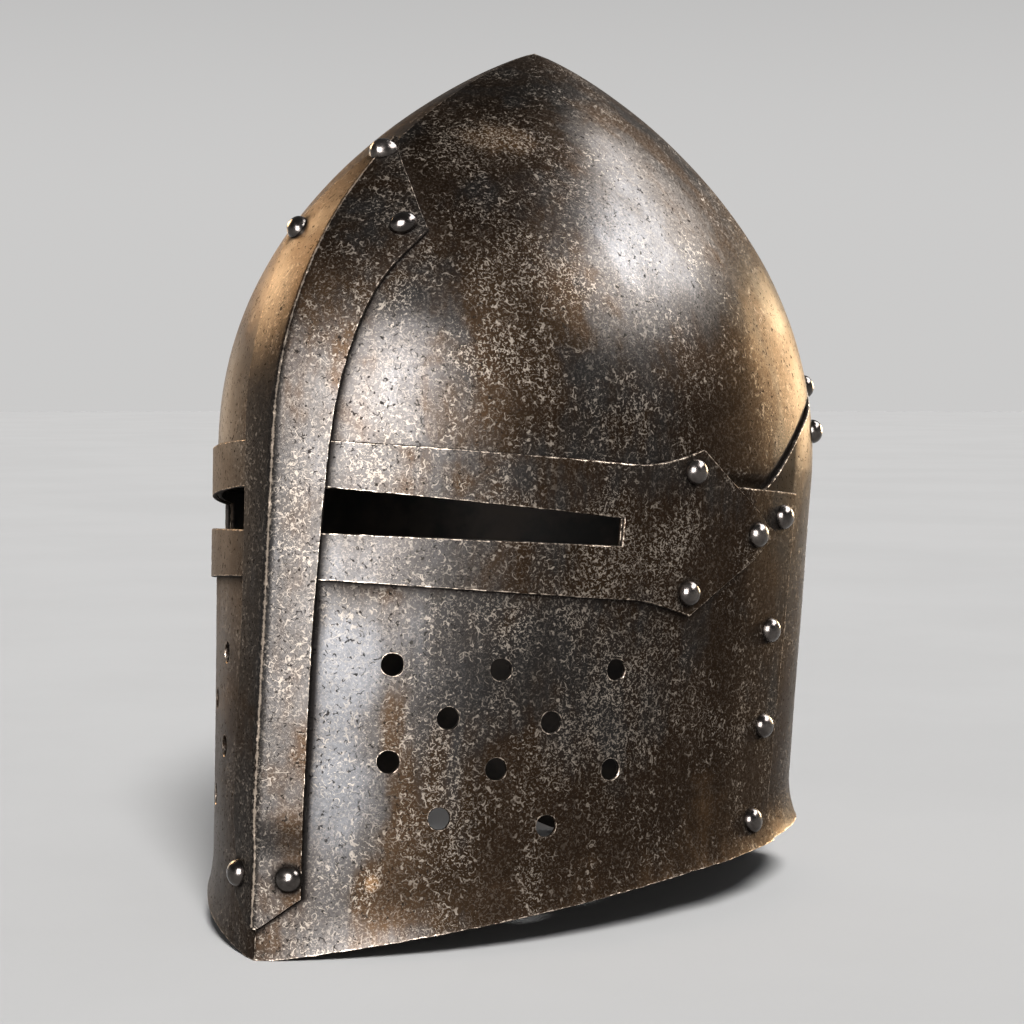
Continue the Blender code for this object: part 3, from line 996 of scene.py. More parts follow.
@dataclass(frozen=True)
class SteelFinish:
    """Old sheet steel: black and brown patches, fine light hairs and dots, bright worn edges that also
    carry painted highlights, cleaner patches that paint highlights, and dark dirt with painted shade.
    """

    name: str
    seed: float = 0.0
    gloss: float = 0.33
    metallic: float = 0.96
    dark: Colour = (0.0300, 0.0268, 0.0246, 1.0)
    # Cleaner steel, also used to paint highlights where the patches fall below 0.
    clean_and_highlight: Colour = (0.052, 0.051, 0.052, 1.0)
    brown: Colour = (0.0245, 0.0145, 0.0082, 1.0)
    bronze: Colour = (0.105, 0.060, 0.029, 1.0)
    # Bare steel of worn edges, brightened to also paint the highlight that ridges and edges catch.
    bare_and_highlight: Colour = (0.48, 0.39, 0.31, 1.0)
    hair: Colour = (0.28, 0.235, 0.19, 1.0)
    # Near black of the cracks, and of the dirt and painted shade.
    soot_and_shade: Colour = (0.0045, 0.0036, 0.0031, 1.0)
    edge_tint: Colour = (0.58, 0.56, 0.545, 1.0)

    clouds: Cloud = Cloud(0.060, 5.0, 0.62, 0.5)
    streaks: Cloud = Cloud(0.016, 4.0, 0.62, 0.3, (1.0, 1.0, 0.2), 0.4)
    cloud_share: float = 0.6
    patch_share: float = 0.22
    brown_ramp: Ramp = Ramp(0.42, 0.57)
    clean_and_highlight_ramp: Ramp = Ramp(0.20, 0.44, 1.0, 0.0)
    bronze_ramp: Ramp = Ramp(0.70, 0.95, 0.0, 0.9)
    grain: Cloud = Cloud(0.0013, 3.0, 0.7)
    grain_share: float = 0.5
    grain_ramp: Ramp = Ramp(0.25, 0.75, 0.4, 1.0)

    crowds: Cloud = Cloud(0.024, 4.0, 0.62, 0.0, (1.0, 1.0, 0.7), 2.2)
    crowd_share: float = 0.30
    fine_hairs: Strokes = Strokes(0.0012, 0.00014, 0.9, 0.51)
    fine_share: float = 0.75
    forked_hairs: Strokes = Strokes(0.0020, 0.00016, 3.3, 0.53)
    crowded_ramp: Ramp = Ramp(0.48, 0.80, 0.14, 0.85)
    stray_hairs: Strokes = Strokes(0.0028, 0.00019, 5.3, 0.52)
    stray_ramp: Ramp = Ramp(0.36, 0.62, 0.10, 0.55)
    dots: Specks = Specks(0.0010, 0.00014, 1.9, 0.25)
    dot_ramp: Ramp = Ramp(0.38, 0.60, 0.4, 1.0)
    hair_share: float = 0.9
    hair_dulling: float = 0.75

    cracks: Strokes = Strokes(0.0025, 0.00015, 8.1, 0.56)
    pits: Specks = Specks(0.0015, 0.00016, 6.7, 0.22)
    crack_share: float = 0.65
    dirt_and_shade_share: float = 0.95
    ragged: Cloud = Cloud(0.0022, 3.0, 0.7)
    ragged_ramp: Ramp = Ramp(0.2, 0.8, -0.38, 0.25)
    wear_and_highlight_ramp: Ramp = Ramp(0.50, 0.90)

    gloss_ramp: Ramp = Ramp(0.3, 0.7, -0.05, 0.08)
    hair_roughness: float = 0.26
    dirt_and_shade_roughness: float = 0.3
    crack_roughness: float = 0.35
    dents: Cloud = Cloud(0.011, 1.0)
    dent_height: float = 2.5
    grain_height: float = 0.9
    relief_strength: float = 0.8
    relief_depth: float = 0.00005

    def hair_cover(self, bench: Bench) -> bpy.types.NodeSocket:
        """Where the light hairs and dots lie, crowded in patches.

        Args:
            bench: the material's bench.

        Returns:
            How much of a hair covers a point.
        """
        crowd = bench.cloud(self.crowds, self.seed)
        crowd = bench.sum("ADD", crowd, bench.scaled(bench.noted("hairy"), self.crowd_share))
        fine = bench.scaled(bench.curls(self.fine_hairs, self.seed), self.fine_share)
        both = bench.sum("MAXIMUM", bench.hairs(self.forked_hairs, self.seed), fine)
        crowded = bench.scaled(both, bench.span(crowd, self.crowded_ramp))
        strays = bench.scaled(bench.curls(self.stray_hairs, self.seed),
                              bench.span(crowd, self.stray_ramp))
        small = bench.scaled(bench.dots(self.dots, self.seed), bench.span(crowd, self.dot_ramp))
        cover = bench.sum("MAXIMUM", bench.sum("MAXIMUM", crowded, strays), small)
        return bench.scaled(cover, self.hair_share)

    def patchwork(self, bench: Bench, clouds: bpy.types.NodeSocket,
                  grain: bpy.types.NodeSocket) -> bpy.types.NodeSocket:
        """Colour of the plain metal: dark, cleaner, brown and bronze patches, grained; the cleaner colour
        also paints highlights.

        Args:
            bench: the material's bench.
            clouds: its broad clouds.
            grain: its finest noise.

        Returns:
            The colour.
        """
        patches = bench.sum("ADD", bench.scaled(clouds, self.cloud_share),
                            bench.scaled(bench.cloud(self.streaks, self.seed), 1.0 - self.cloud_share))
        patches = bench.sum("ADD", patches, bench.scaled(bench.noted("brown"), self.patch_share))
        colour = bench.mix(bench.span(patches, self.brown_ramp), self.dark, self.brown)
        # Painted highlight: cleaner, brighter steel where the patches are low.
        colour = bench.mix(bench.span(patches, self.clean_and_highlight_ramp), colour, self.clean_and_highlight)
        colour = bench.mix(bench.span(patches, self.bronze_ramp), colour, self.bronze)
        return bench.mix(self.grain_share, colour, bench.span(grain, self.grain_ramp), "MULTIPLY")

    def make(self) -> bpy.types.Material:
        """Lay out the finish.

        Returns:
            The material.
        """
        bench = Bench(self.name)
        clouds = bench.cloud(self.clouds, self.seed)
        grain = bench.cloud(self.grain, self.seed)
        hairs = self.hair_cover(bench)
        cracks = bench.sum("MAXIMUM", bench.curls(self.cracks, self.seed),
                           bench.dots(self.pits, self.seed))
        grime = bench.noted("grime")
        ragged = bench.span(bench.cloud(self.ragged, self.seed), self.ragged_ramp)
        wear_and_highlight_cover = bench.span(bench.sum("ADD", bench.noted("worn"), ragged), self.wear_and_highlight_ramp)

        colour = bench.mix(hairs, self.patchwork(bench, clouds, grain), self.hair)
        colour = bench.mix(bench.scaled(cracks, self.crack_share), colour, self.soot_and_shade)
        # Dirt and painted shade: contact shadow under plate edges, beside the strip and round the rivets
        # darkens the colour.
        colour = bench.mix(bench.scaled(grime, self.dirt_and_shade_share), colour, self.soot_and_shade)
        # Wear and painted highlight: worn rims, creases and edges take the bright bare colour.
        colour = bench.mix(wear_and_highlight_cover, colour, self.bare_and_highlight)
        bench.feed(bench.shader.inputs["Base Color"], colour)

        rough = bench.sum("ADD", bench.span(clouds, self.gloss_ramp), self.gloss)
        for cover, roughness in ((hairs, self.hair_roughness), (grime, self.dirt_and_shade_roughness),
                                 (cracks, self.crack_roughness)):
            rough = bench.sum("ADD", rough, bench.scaled(cover, roughness))
        bench.feed(bench.shader.inputs["Roughness"], rough)
        dulled = bench.scaled(hairs, self.hair_dulling)
        bench.feed(bench.shader.inputs["Metallic"], bench.sum("SUBTRACT", self.metallic, dulled))
        bench.shader.inputs["Specular Tint"].default_value = self.edge_tint

        dents = bench.scaled(bench.cloud(self.dents, self.seed), self.dent_height)
        relief = bench.sum("ADD", dents, bench.scaled(grain, self.grain_height))
        bench.relief(relief, self.relief_strength, self.relief_depth)
        return bench.material


@dataclass(frozen=True)
class PlainFinish:
    """A plainer metal or ground: one colour with soft clouds and a fine grain."""

    name: str
    low: Colour
    high: Colour
    gloss: float
    metallic: float
    cloud_pitch: float = 0.02
    grain_pitch: float = 0.0012
    grain_depth: float = 0.00002
    shine: float = 0.5
    shift: float = 0.7
    colour_ramp: Ramp = Ramp(0.35, 0.65)
    gloss_ramp: Ramp = Ramp(0.3, 0.7, -0.04, 0.06)
    relief_strength: float = 0.5

    def make(self) -> bpy.types.Material:
        """Lay out the finish.

        Returns:
            The material.
        """
        bench = Bench(self.name)
        clouds = bench.cloud(Cloud(self.cloud_pitch, 4.0, 0.6), self.shift)
        colour = bench.mix(bench.span(clouds, self.colour_ramp), self.low, self.high)
        bench.feed(bench.shader.inputs["Base Color"], colour)
        bench.feed(bench.shader.inputs["Roughness"],
                   bench.sum("ADD", bench.span(clouds, self.gloss_ramp), self.gloss))
        bench.shader.inputs["Metallic"].default_value = self.metallic
        bench.shader.inputs["Specular IOR Level"].default_value = self.shine
        bench.relief(bench.cloud(Cloud(self.grain_pitch), self.shift), self.relief_strength,
                     self.grain_depth)
        return bench.material


@dataclass(frozen=True)
class Finishes:
    """The materials of the helm."""

    plate: bpy.types.Material
    trim: bpy.types.Material
    rivet: bpy.types.Material
    inside: bpy.types.Material

    @classmethod
    def mixed(cls) -> Finishes:
        """Make all of them.

        Returns:
            The materials.
        """
        inside = PlainFinish("sooty_inner_steel", (0.020, 0.017, 0.015, 1.0),
                             (0.050, 0.038, 0.030, 1.0), gloss=0.62, metallic=0.6)
        rivet = PlainFinish("polished_rivet_steel", (0.052, 0.045, 0.041, 1.0),
                            (0.105, 0.092, 0.083, 1.0), gloss=0.22, metallic=0.96,
                            cloud_pitch=0.006)
        return cls(SteelFinish("aged_plate_steel").make(),
                   SteelFinish("aged_trim_steel", seed=7.3, gloss=0.36).make(),
                   rivet.make(), inside.make())


@dataclass(frozen=True)
class SightLines:
    """Outlines of the sight bar and of its two eye slots, in turns and metres."""

    low: float = 0.1362
    high: float = 0.187
    keel_rise: float = 0.0026
    spear_low: float = 0.1308
    spear_high: float = 0.1945
    tip_height: float = 0.1638
    tip_half: float = 0.0006
    neck_turn: float = 0.65
    shoulder_turn: float = 0.79
    tip_turn: float = 1.02
    bridge_turn: float = 0.07
    slot_turn: float = 0.62
    slot_low: tuple[float, float] = (0.1556, 0.1563)
    slot_high: tuple[float, float] = (0.1728, 0.1665)
    shoulder_curve: float = 1.5

    def slot(self, turn: float) -> tuple[float, float]:
        """Lower and upper edge of the eye slot at a turn.

        Args:
            turn: round the shell, 0 at the keel and 2 at the back.

        Returns:
            The two heights.
        """
        share = min(abs(turn) / self.slot_turn, 1.0)
        low = self.slot_low[0] + (self.slot_low[1] - self.slot_low[0]) * share
        high = self.slot_high[0] + (self.slot_high[1] - self.slot_high[0]) * share
        return low, high

    def bar(self, turn: float) -> tuple[float, float]:
        """Lower and upper edge of the bar at a turn.

        Args:
            turn: round the shell, 0 at the keel and 2 at the back.

        Returns:
            The two heights.
        """
        side = min(abs(turn), self.tip_turn)
        rise = self.keel_rise * max(1.0 - side / self.slot_turn, 0.0)
        spread = max(side - self.neck_turn, 0.0) / (self.shoulder_turn - self.neck_turn)
        spread = min(spread, 1.0) ** self.shoulder_curve
        low = self.low + rise + (self.spear_low - self.low) * spread
        high = self.high + rise + (self.spear_high - self.high) * spread
        point = max(side - self.shoulder_turn, 0.0) / (self.tip_turn - self.shoulder_turn)
        low += (self.tip_height - self.tip_half - low) * point
        high += (self.tip_height + self.tip_half - high) * point
        return low, high

    def in_slot(self, turn: float) -> bool:
        """Whether a turn lies in one of the two eye slots."""
        return self.bridge_turn < abs(turn) < self.slot_turn

    def gap(self, shell: Shell, turn: float, height: float) -> float:
        """Distance from the bar's outline to a point outside it, or 0 under the bar.

        Args:
            shell: the form of the helm.
            turn: round the shell, 0 at the keel and 2 at the back.
            height: over the ground, in metres.

        Returns:
            The distance, in metres.
        """
        low, high = self.bar(turn)
        past = max(abs(turn) - self.tip_turn, 0.0) * shell.turn_length(1.0, self.tip_height)
        return math.hypot(max(low - height, height - high, 0.0), past)


@dataclass(frozen=True)
class StripLines:
    """Outline of the keel strip and how far it stands off the shell, in turns and metres."""

    foot: float = 0.0115
    top: float = 0.3080
    widest: float = 0.203
    foot_gap: float = 0.0009
    top_gap: float = 0.0005
    beside_turn: float = 0.3

    def share(self, height: float) -> float:
        """Share of the strip's height."""
        return (height - self.foot) / (self.top - self.foot)

    def half_turn(self, height: float) -> float:
        """Turn of the strip's edge at a height."""
        return self.widest * STRIP_EDGE.value(self.share(height))

    def stand(self, shell: Shell, height: float) -> float:
        """Clear height under the strip.

        Args:
            shell: the form of the helm.
            height: over the ground, in metres.

        Returns:
            The height, in metres.
        """
        share = self.share(height)
        gap = self.foot_gap + (self.top_gap - self.foot_gap) * eased(2.0 * share - 0.5)
        return gap + (shell.layer + shell.clearance - gap) * STRIP_STAND.value(share)

    def gap(self, shell: Shell, turn: float, height: float) -> float:
        """Distance from the strip's outline to a point outside it, or 0 under the strip."""
        beside = max(abs(turn) - self.half_turn(height), 0.0) * shell.turn_length(self.beside_turn, height)
        return math.hypot(beside, max(self.foot - height, height - self.top, 0.0))


@dataclass(frozen=True)
class Spot:
    """Where one rivet sits, and the lift off the shell of the metal that it holds down."""

    name: str
    turn: float
    height: float
    lift: float


@dataclass(frozen=True)
class Fittings:
    """Places of the rivets and breaths, as turns and shares of the part that they belong to."""

    keel: tuple[tuple[float, float], ...] = (
        (0.0, 0.976), (0.148, 0.872), (-0.148, 0.872), (0.056, 0.064), (-0.056, 0.064))
    bar: tuple[tuple[float, float], ...] = ((0.770, 0.863), (0.955, 0.516), (0.780, 0.140))
    seam: tuple[tuple[float, float], ...] = (
        (1.045, 0.945), (1.036, 0.696), (1.044, 0.485), (1.033, 0.278))
    nape: tuple[tuple[float, float], ...] = (
        (1.31, 0.335), (1.42, 0.578), (1.60, 0.720), (1.84, 0.840))
    breaths: tuple[tuple[float, float], ...] = (
        (0.215, 0.802), (0.408, 0.800), (0.636, 0.808), (0.318, 0.665), (0.510, 0.661),
        (0.217, 0.543), (0.411, 0.532), (0.641, 0.534), (0.313, 0.396), (0.515, 0.380))
    breath_radius: float = 0.0040
    rivet_radius: float = 0.0050
    rivet_height: float = 0.0043

    def spots(self, shell: Shell, sight: SightLines, strip: StripLines) -> tuple[Spot, ...]:
        """Where every rivet sits.

        Args:
            shell: the form under the rivets.
            sight: outline of the sight bar.
            strip: outline of the keel strip.

        Returns:
            One spot for each packed rivet, under the same name.
        """
        spots = []
        for number, (turn, share) in enumerate(self.keel, start=1):
            height = strip.foot + (strip.top - strip.foot) * share
            lift = strip.stand(shell, height) + shell.sheet
            spots.append(Spot(f"keel_rivet_{number}", turn, height, lift))
        for side in Side:
            word = side.name.lower()
            sign = side.value
            for number, (turn, share) in enumerate(self.bar, start=1):
                height = sight.spear_low + (sight.spear_high - sight.spear_low) * share
                lift = shell.lap(turn) + shell.layer
                spots.append(Spot(f"bar_rivet_{word}_{number}", sign * turn, height, lift))
            for number, (turn, share) in enumerate(self.seam, start=1):
                height = shell.face_top * share
                spots.append(Spot(f"seam_rivet_{word}_{number}", sign * turn, height, shell.lap(turn)))
            for number, (turn, share) in enumerate(self.nape, start=1):
                height = shell.face_top + (shell.crest_top - shell.face_top) * share
                spots.append(Spot(f"nape_rivet_{word}_{number}", sign * turn, height, 0.0))
        return tuple(spots)


@dataclass(frozen=True)
class Patch:
    """A stained or hairy place on one side of the helm, or with brown below 0 a painted highlight; its
    middle, its reach in metres, its tones.
    """

    turn: float
    height: float
    wide: float
    tall: float
    brown: float
    hairy: float

    LENGTH_OF_TURN = 0.19

    def strength(self, turn: float, height: float) -> float:
        """How strong the patch is at a point, 1 in its middle.

        Args:
            turn: round the shell, 0 at the keel and 2 at the back.
            height: over the ground, in metres.

        Returns:
            The strength, from 0 to 1.
        """
        across = (turn - self.turn) * self.LENGTH_OF_TURN / self.wide
        up = (height - self.height) / self.tall
        return math.exp(-across * across - up * up)


# Places with brown below 0 are painted highlights: cleaner steel where the helm catches the lamps.
PATCHES = (
    Patch(0.32, 0.312, 0.036, 0.012, 1.6, 0.8),
    Patch(0.40, 0.240, 0.022, 0.034, 0.55, 0.25),
    Patch(0.32, 0.275, 0.020, 0.020, 0.2, 0.35),
    Patch(0.90, 0.214, 0.022, 0.030, 1.0, -0.2),
    Patch(0.60, 0.200, 0.040, 0.012, 0.4, 0.0),
    Patch(0.88, 0.090, 0.022, 0.060, 1.0, 0.0),
    Patch(0.84, 0.055, 0.026, 0.020, 0.35, -0.2),
    Patch(0.64, 0.100, 0.018, 0.032, 0.1, 0.9),
    Patch(0.46, 0.124, 0.030, 0.016, -0.1, 0.6),
    Patch(0.20, 0.030, 0.0030, 0.004, 2.0, 0.8),
    Patch(0.255, 0.054, 0.0030, 0.018, 1.0, 0.5),
    Patch(0.30, 0.078, 0.0040, 0.016, 0.5, 0.3),
    Patch(0.44, 0.060, 0.028, 0.022, 0.4, 0.2),
    # Painted highlight on the lit cheek beside the keel.
    Patch(0.13, 0.070, 0.014, 0.060, -1.4, -0.2),
    Patch(0.15, 0.112, 0.016, 0.016, -1.2, -0.3),
    Patch(0.56, 0.026, 0.080, 0.020, 0.6, -0.1),
    # Painted highlight on the crown.
    Patch(0.72, 0.278, 0.026, 0.030, -1.3, -0.7),
    # Painted highlight on the crown near the strip.
    Patch(0.20, 0.214, 0.018, 0.026, -0.35, -0.2),
    Patch(0.68, 0.158, 0.030, 0.014, 0.5, 0.5),
    Patch(-0.20, 0.080, 0.030, 0.070, 0.8, 0.2),
    Patch(-0.40, 0.260, 0.030, 0.030, 0.9, 0.4),
    Patch(-0.30, 0.100, 0.030, 0.040, 0.7, 0.4),
    Patch(-0.75, 0.070, 0.030, 0.030, 0.6, 0.3),
    Patch(1.70, 0.160, 0.040, 0.050, 0.7, 0.4),
    Patch(-1.45, 0.090, 0.040, 0.035, 0.8, 0.2),
    Patch(-1.60, 0.290, 0.030, 0.020, 0.7, 0.5),
)


def brown_and_highlight(turn: float, height: float) -> float:
    """How brown the patches make a point; below 0 it paints a highlight as cleaner steel."""
    return sum(patch.brown * patch.strength(turn, height) for patch in PATCHES)


def hairiness(turn: float, height: float) -> float:
    """How much the patches crowd the fine hairs at a point."""
    return sum(patch.hairy * patch.strength(turn, height) for patch in PATCHES)


@dataclass(frozen=True)
class Workshop:
    """What every part is made with: the form, the outlines, the rivets, the finishes."""

    shell: Shell
    sight: SightLines
    strip: StripLines
    fittings: Fittings
    spots: tuple[Spot, ...]
    stance: Stance
    finishes: Finishes
    # Reach of the dirt and painted shade round a rivet's foot.
    rivet_dirt_and_shade_reach: float = 0.0014
    shadow_fade: float = 0.0012

    NEAR_TURN = 0.08
    NEAR_HEIGHT = 0.014

    def rivet_dirt_and_shade(self, turn: float, height: float) -> float:
        """Dirt and painted shade round the rivets at a point.

        Args:
            turn: round the shell, 0 at the keel and 2 at the back.
            height: over the ground, in metres.

        Returns:
            The dirt and shade, from 0 to 1.
        """
        here = self.shell.point(turn, height)
        dirt = 0.0
        for spot in self.spots_near(turn, height):
            away = (self.shell.point(spot.turn, spot.height) - here).length
            dirt = max(dirt, nearness(away - self.fittings.rivet_radius, self.rivet_dirt_and_shade_reach))
        return dirt

    def spots_near(self, turn: float, height: float) -> list[Spot]:
        """Rivets close enough to a point to leave dirt and painted shade there.

        Args:
            turn: round the shell, 0 at the keel and 2 at the back.
            height: over the ground, in metres.

        Returns:
            The rivets.
        """
        return [spot for spot in self.spots
                if abs(spot.turn - turn) < self.NEAR_TURN
                and abs(spot.height - height) < self.NEAR_HEIGHT]

    def strip_shadow(self, turn: float, height: float, width: float) -> float:
        """Dirt and shadow beside the keel strip, full over a width and then fading."""
        return nearness(self.strip.gap(self.shell, turn, height) - width, self.shadow_fade)

    def seam_gap(self, turn: float, height: float) -> float:
        """Distance from a point of the back plate to the face plate's rear edge.

        Args:
            turn: round the shell, 0 at the keel and 2 at the back.
            height: over the ground, in metres.

        Returns:
            The distance, in metres.
        """
        edge = math.copysign(self.shell.face_turn, turn)
        if abs(turn) <= self.shell.face_turn:
            return 0.0
        return (self.shell.point(turn, height) - self.shell.point(edge, height)).length


def stacked(knots: tuple[float, ...], counts: tuple[int, ...]) -> list[float]:
    """Even steps between knots.

    Args:
        knots: rising values.
        counts: number of steps from each knot to the next.

    Returns:
        The knots and the steps between them.
    """
    steps = [knots[0]]
    for low, high, count in zip(knots, knots[1:], counts):
        steps += [low + (high - low) * step / count for step in range(1, count + 1)]
    return steps


@dataclass(frozen=True)
class Plate:
    """One sheet that is lifted off the shell."""

    shop: Workshop

    FOOT_REACH = 0.05

    def lift(self, turn: float, height: float) -> float:
        """Lift of the sheet's outer face off the shell, without its lip."""
        return 0.0

    def outer(self, turn: float, height: float) -> Vector:
        """Place of the sheet's outer face.

        Args:
            turn: round the shell, 0 at the keel and 2 at the back.
            height: over the ground, in metres.

        Returns:
            The place.
        """
        shell = self.shop.shell
        lift = self.lift(turn, height)
        return shell.lifted(turn, height, lift + shell.lip(turn, height, lift))

    def inner(self, turn: float, height: float) -> Vector:
        """Place of the sheet's inner face, whose foot stands on the same ground.

        Args:
            turn: turn of the outer face's point.
            height: its height.

        Returns:
            The point of the inner face.
        """
        shell = self.shop.shell
        lift = self.lift(turn, height)
        depth = lift - shell.sheet
        foot = shell.edge_height(turn, lift)
        fade = 1.0 - eased((height - foot) / self.FOOT_REACH)
        if fade > 0.0:
            height += fade * (shell.edge_height(turn, depth) - foot)
        return shell.lifted(turn, height, depth + shell.lip(turn, height, depth))


@dataclass(frozen=True)
class FacePlate(Plate):
    """The keeled front plate with its sight and its breaths."""

    sleeve: float = 0.0006
    pitch: float = 0.00135
    row_counts: tuple[int, ...] = (14, 84, 12, 9)
    crease_width: float = 0.0007
    crease_wear_and_highlight: float = 0.8
    rear_turn: float = 1.08
    rear_wear_and_highlight: float = 0.0009
    bar_shadow: float = 0.0032
    strip_shadow: float = 0.0011

    def lift(self, turn: float, height: float) -> float:
        """Lift of the outer face: it rises over the back plate."""
        return self.shop.shell.lap(turn)

    def grime(self, turn: float, height: float) -> float:
        """Dirt and painted shade round the bar, the strip and the rivets.

        Args:
            turn: round the shell, 0 at the keel and 2 at the back.
            height: over the ground, in metres.

        Returns:
            The dirt and shade, from 0 to 1.
        """
        shop = self.shop
        shadow = nearness(shop.sight.gap(shop.shell, turn, height), self.bar_shadow)
        beside = shop.strip_shadow(turn, height, self.strip_shadow)
        return max(shadow, beside, shop.rivet_dirt_and_shade(turn, height))

    def worn(self, turn: float, height: float) -> float:
        """Wear of the keel's crease and of the rear edge's corner, with a painted highlight along both.

        Args:
            turn: round the shell, 0 at the keel and 2 at the back.
            height: over the ground, in metres.

        Returns:
            The wear and highlight, from 0 to 1.
        """
        shell = self.shop.shell
        away = abs(turn) * shell.turn_length(KEEL_SIDE, height)
        rear = (shell.face_turn - abs(turn)) * shell.turn_length(self.rear_turn, height)
        return max(self.crease_wear_and_highlight * nearness(away, self.crease_width),
                   nearness(rear, self.rear_wear_and_highlight))

    def build(self) -> bpy.types.Object:
        """Make the plate.

        Returns:
            The finished piece.
        """
        shop = self.shop
        shell = shop.shell
        sight = shop.sight
        knots = (0.0, 0.5 * shell.keel_fold, shell.keel_fold, sight.bridge_turn, sight.slot_turn,
                 shell.lap_start, shell.lap_turn, shell.face_turn)
        turns = shell.ruled(mirrored(knots), self.pitch)
        columns = []
        for turn in turns:
            foot = shell.edge_height(turn, self.lift(turn, 0.0))
            low, high = sight.slot(turn)
            levels = (foot, foot + shell.flare_height, low - self.sleeve, high + self.sleeve,
                      shell.face_top)
            columns.append(stacked(levels, self.row_counts))
        blank = Blank(len(turns) - 1, sum(self.row_counts))
        blank.spread(lambda column, row: (turns[column], columns[column][row]))

        def in_sight(turn: float, height: float) -> bool:
            low, high = sight.slot(turn)
            return sight.in_slot(turn) and low - self.sleeve < height < high + self.sleeve

        blank.open_where(in_sight)
        for turn, share in shop.fittings.breaths:
            for side in Side:
                blank.pierce(shell, side.value * turn, sight.low * share, shop.fittings.breath_radius)
        blank.mark(worn=self.worn, grime=self.grime, brown=brown_and_highlight, hairy=hairiness)
        blank.thicken(self.outer, self.inner, shell)
        finishes = shop.finishes
        return blank.finish("face_plate_sheet", shop.stance, [finishes.plate, finishes.inside])


@dataclass(frozen=True)
class BackPlate(Plate):
    """The nape plate, from under the face plate's rear edges round to the crest."""

    pitch: float = 0.0019
    row_counts: tuple[int, ...] = (12, 92, 6)
    overlap: float = 0.010
    seam_dirt_and_shade: float = 0.0026

    def grime(self, turn: float, height: float) -> float:
        """Dirt and painted shade along the seam with the face plate and round the rivets."""
        seam = nearness(self.shop.seam_gap(turn, height), self.seam_dirt_and_shade)
        return max(seam, self.shop.rivet_dirt_and_shade(turn, height))

    def build(self) -> bpy.types.Object:
        """Make the plate.

        Returns:
            The finished piece.
        """
        shop = self.shop
        shell = shop.shell
        front = shell.ruled((shell.lap_turn, 1.0, shell.face_turn, BACK_TURN), self.pitch)
        turns = front + [WHOLE_TURN - turn for turn in reversed(front[:-1])]
        columns = []
        for turn in turns:
            side = min(turn, WHOLE_TURN - turn)
            foot = shell.edge_height(side, 0.0)
            top = shell.border(side)
            columns.append(stacked((foot, foot + shell.flare_height, top - self.overlap, top),
                                   self.row_counts))
        blank = Blank(len(turns) - 1, sum(self.row_counts))
        blank.spread(lambda column, row: (turns[column], columns[column][row]))
        blank.mark(grime=lambda turn, height: self.grime(shell.wrapped(turn), height),
                   brown=lambda turn, height: brown_and_highlight(shell.wrapped(turn), height),
                   hairy=lambda turn, height: hairiness(shell.wrapped(turn), height))
        blank.thicken(lambda turn, height: self.outer(shell.wrapped(turn), height),
                      lambda turn, height: self.inner(shell.wrapped(turn), height), shell)
        finishes = shop.finishes
        return blank.finish("back_plate_sheet", shop.stance, [finishes.plate, finishes.inside])


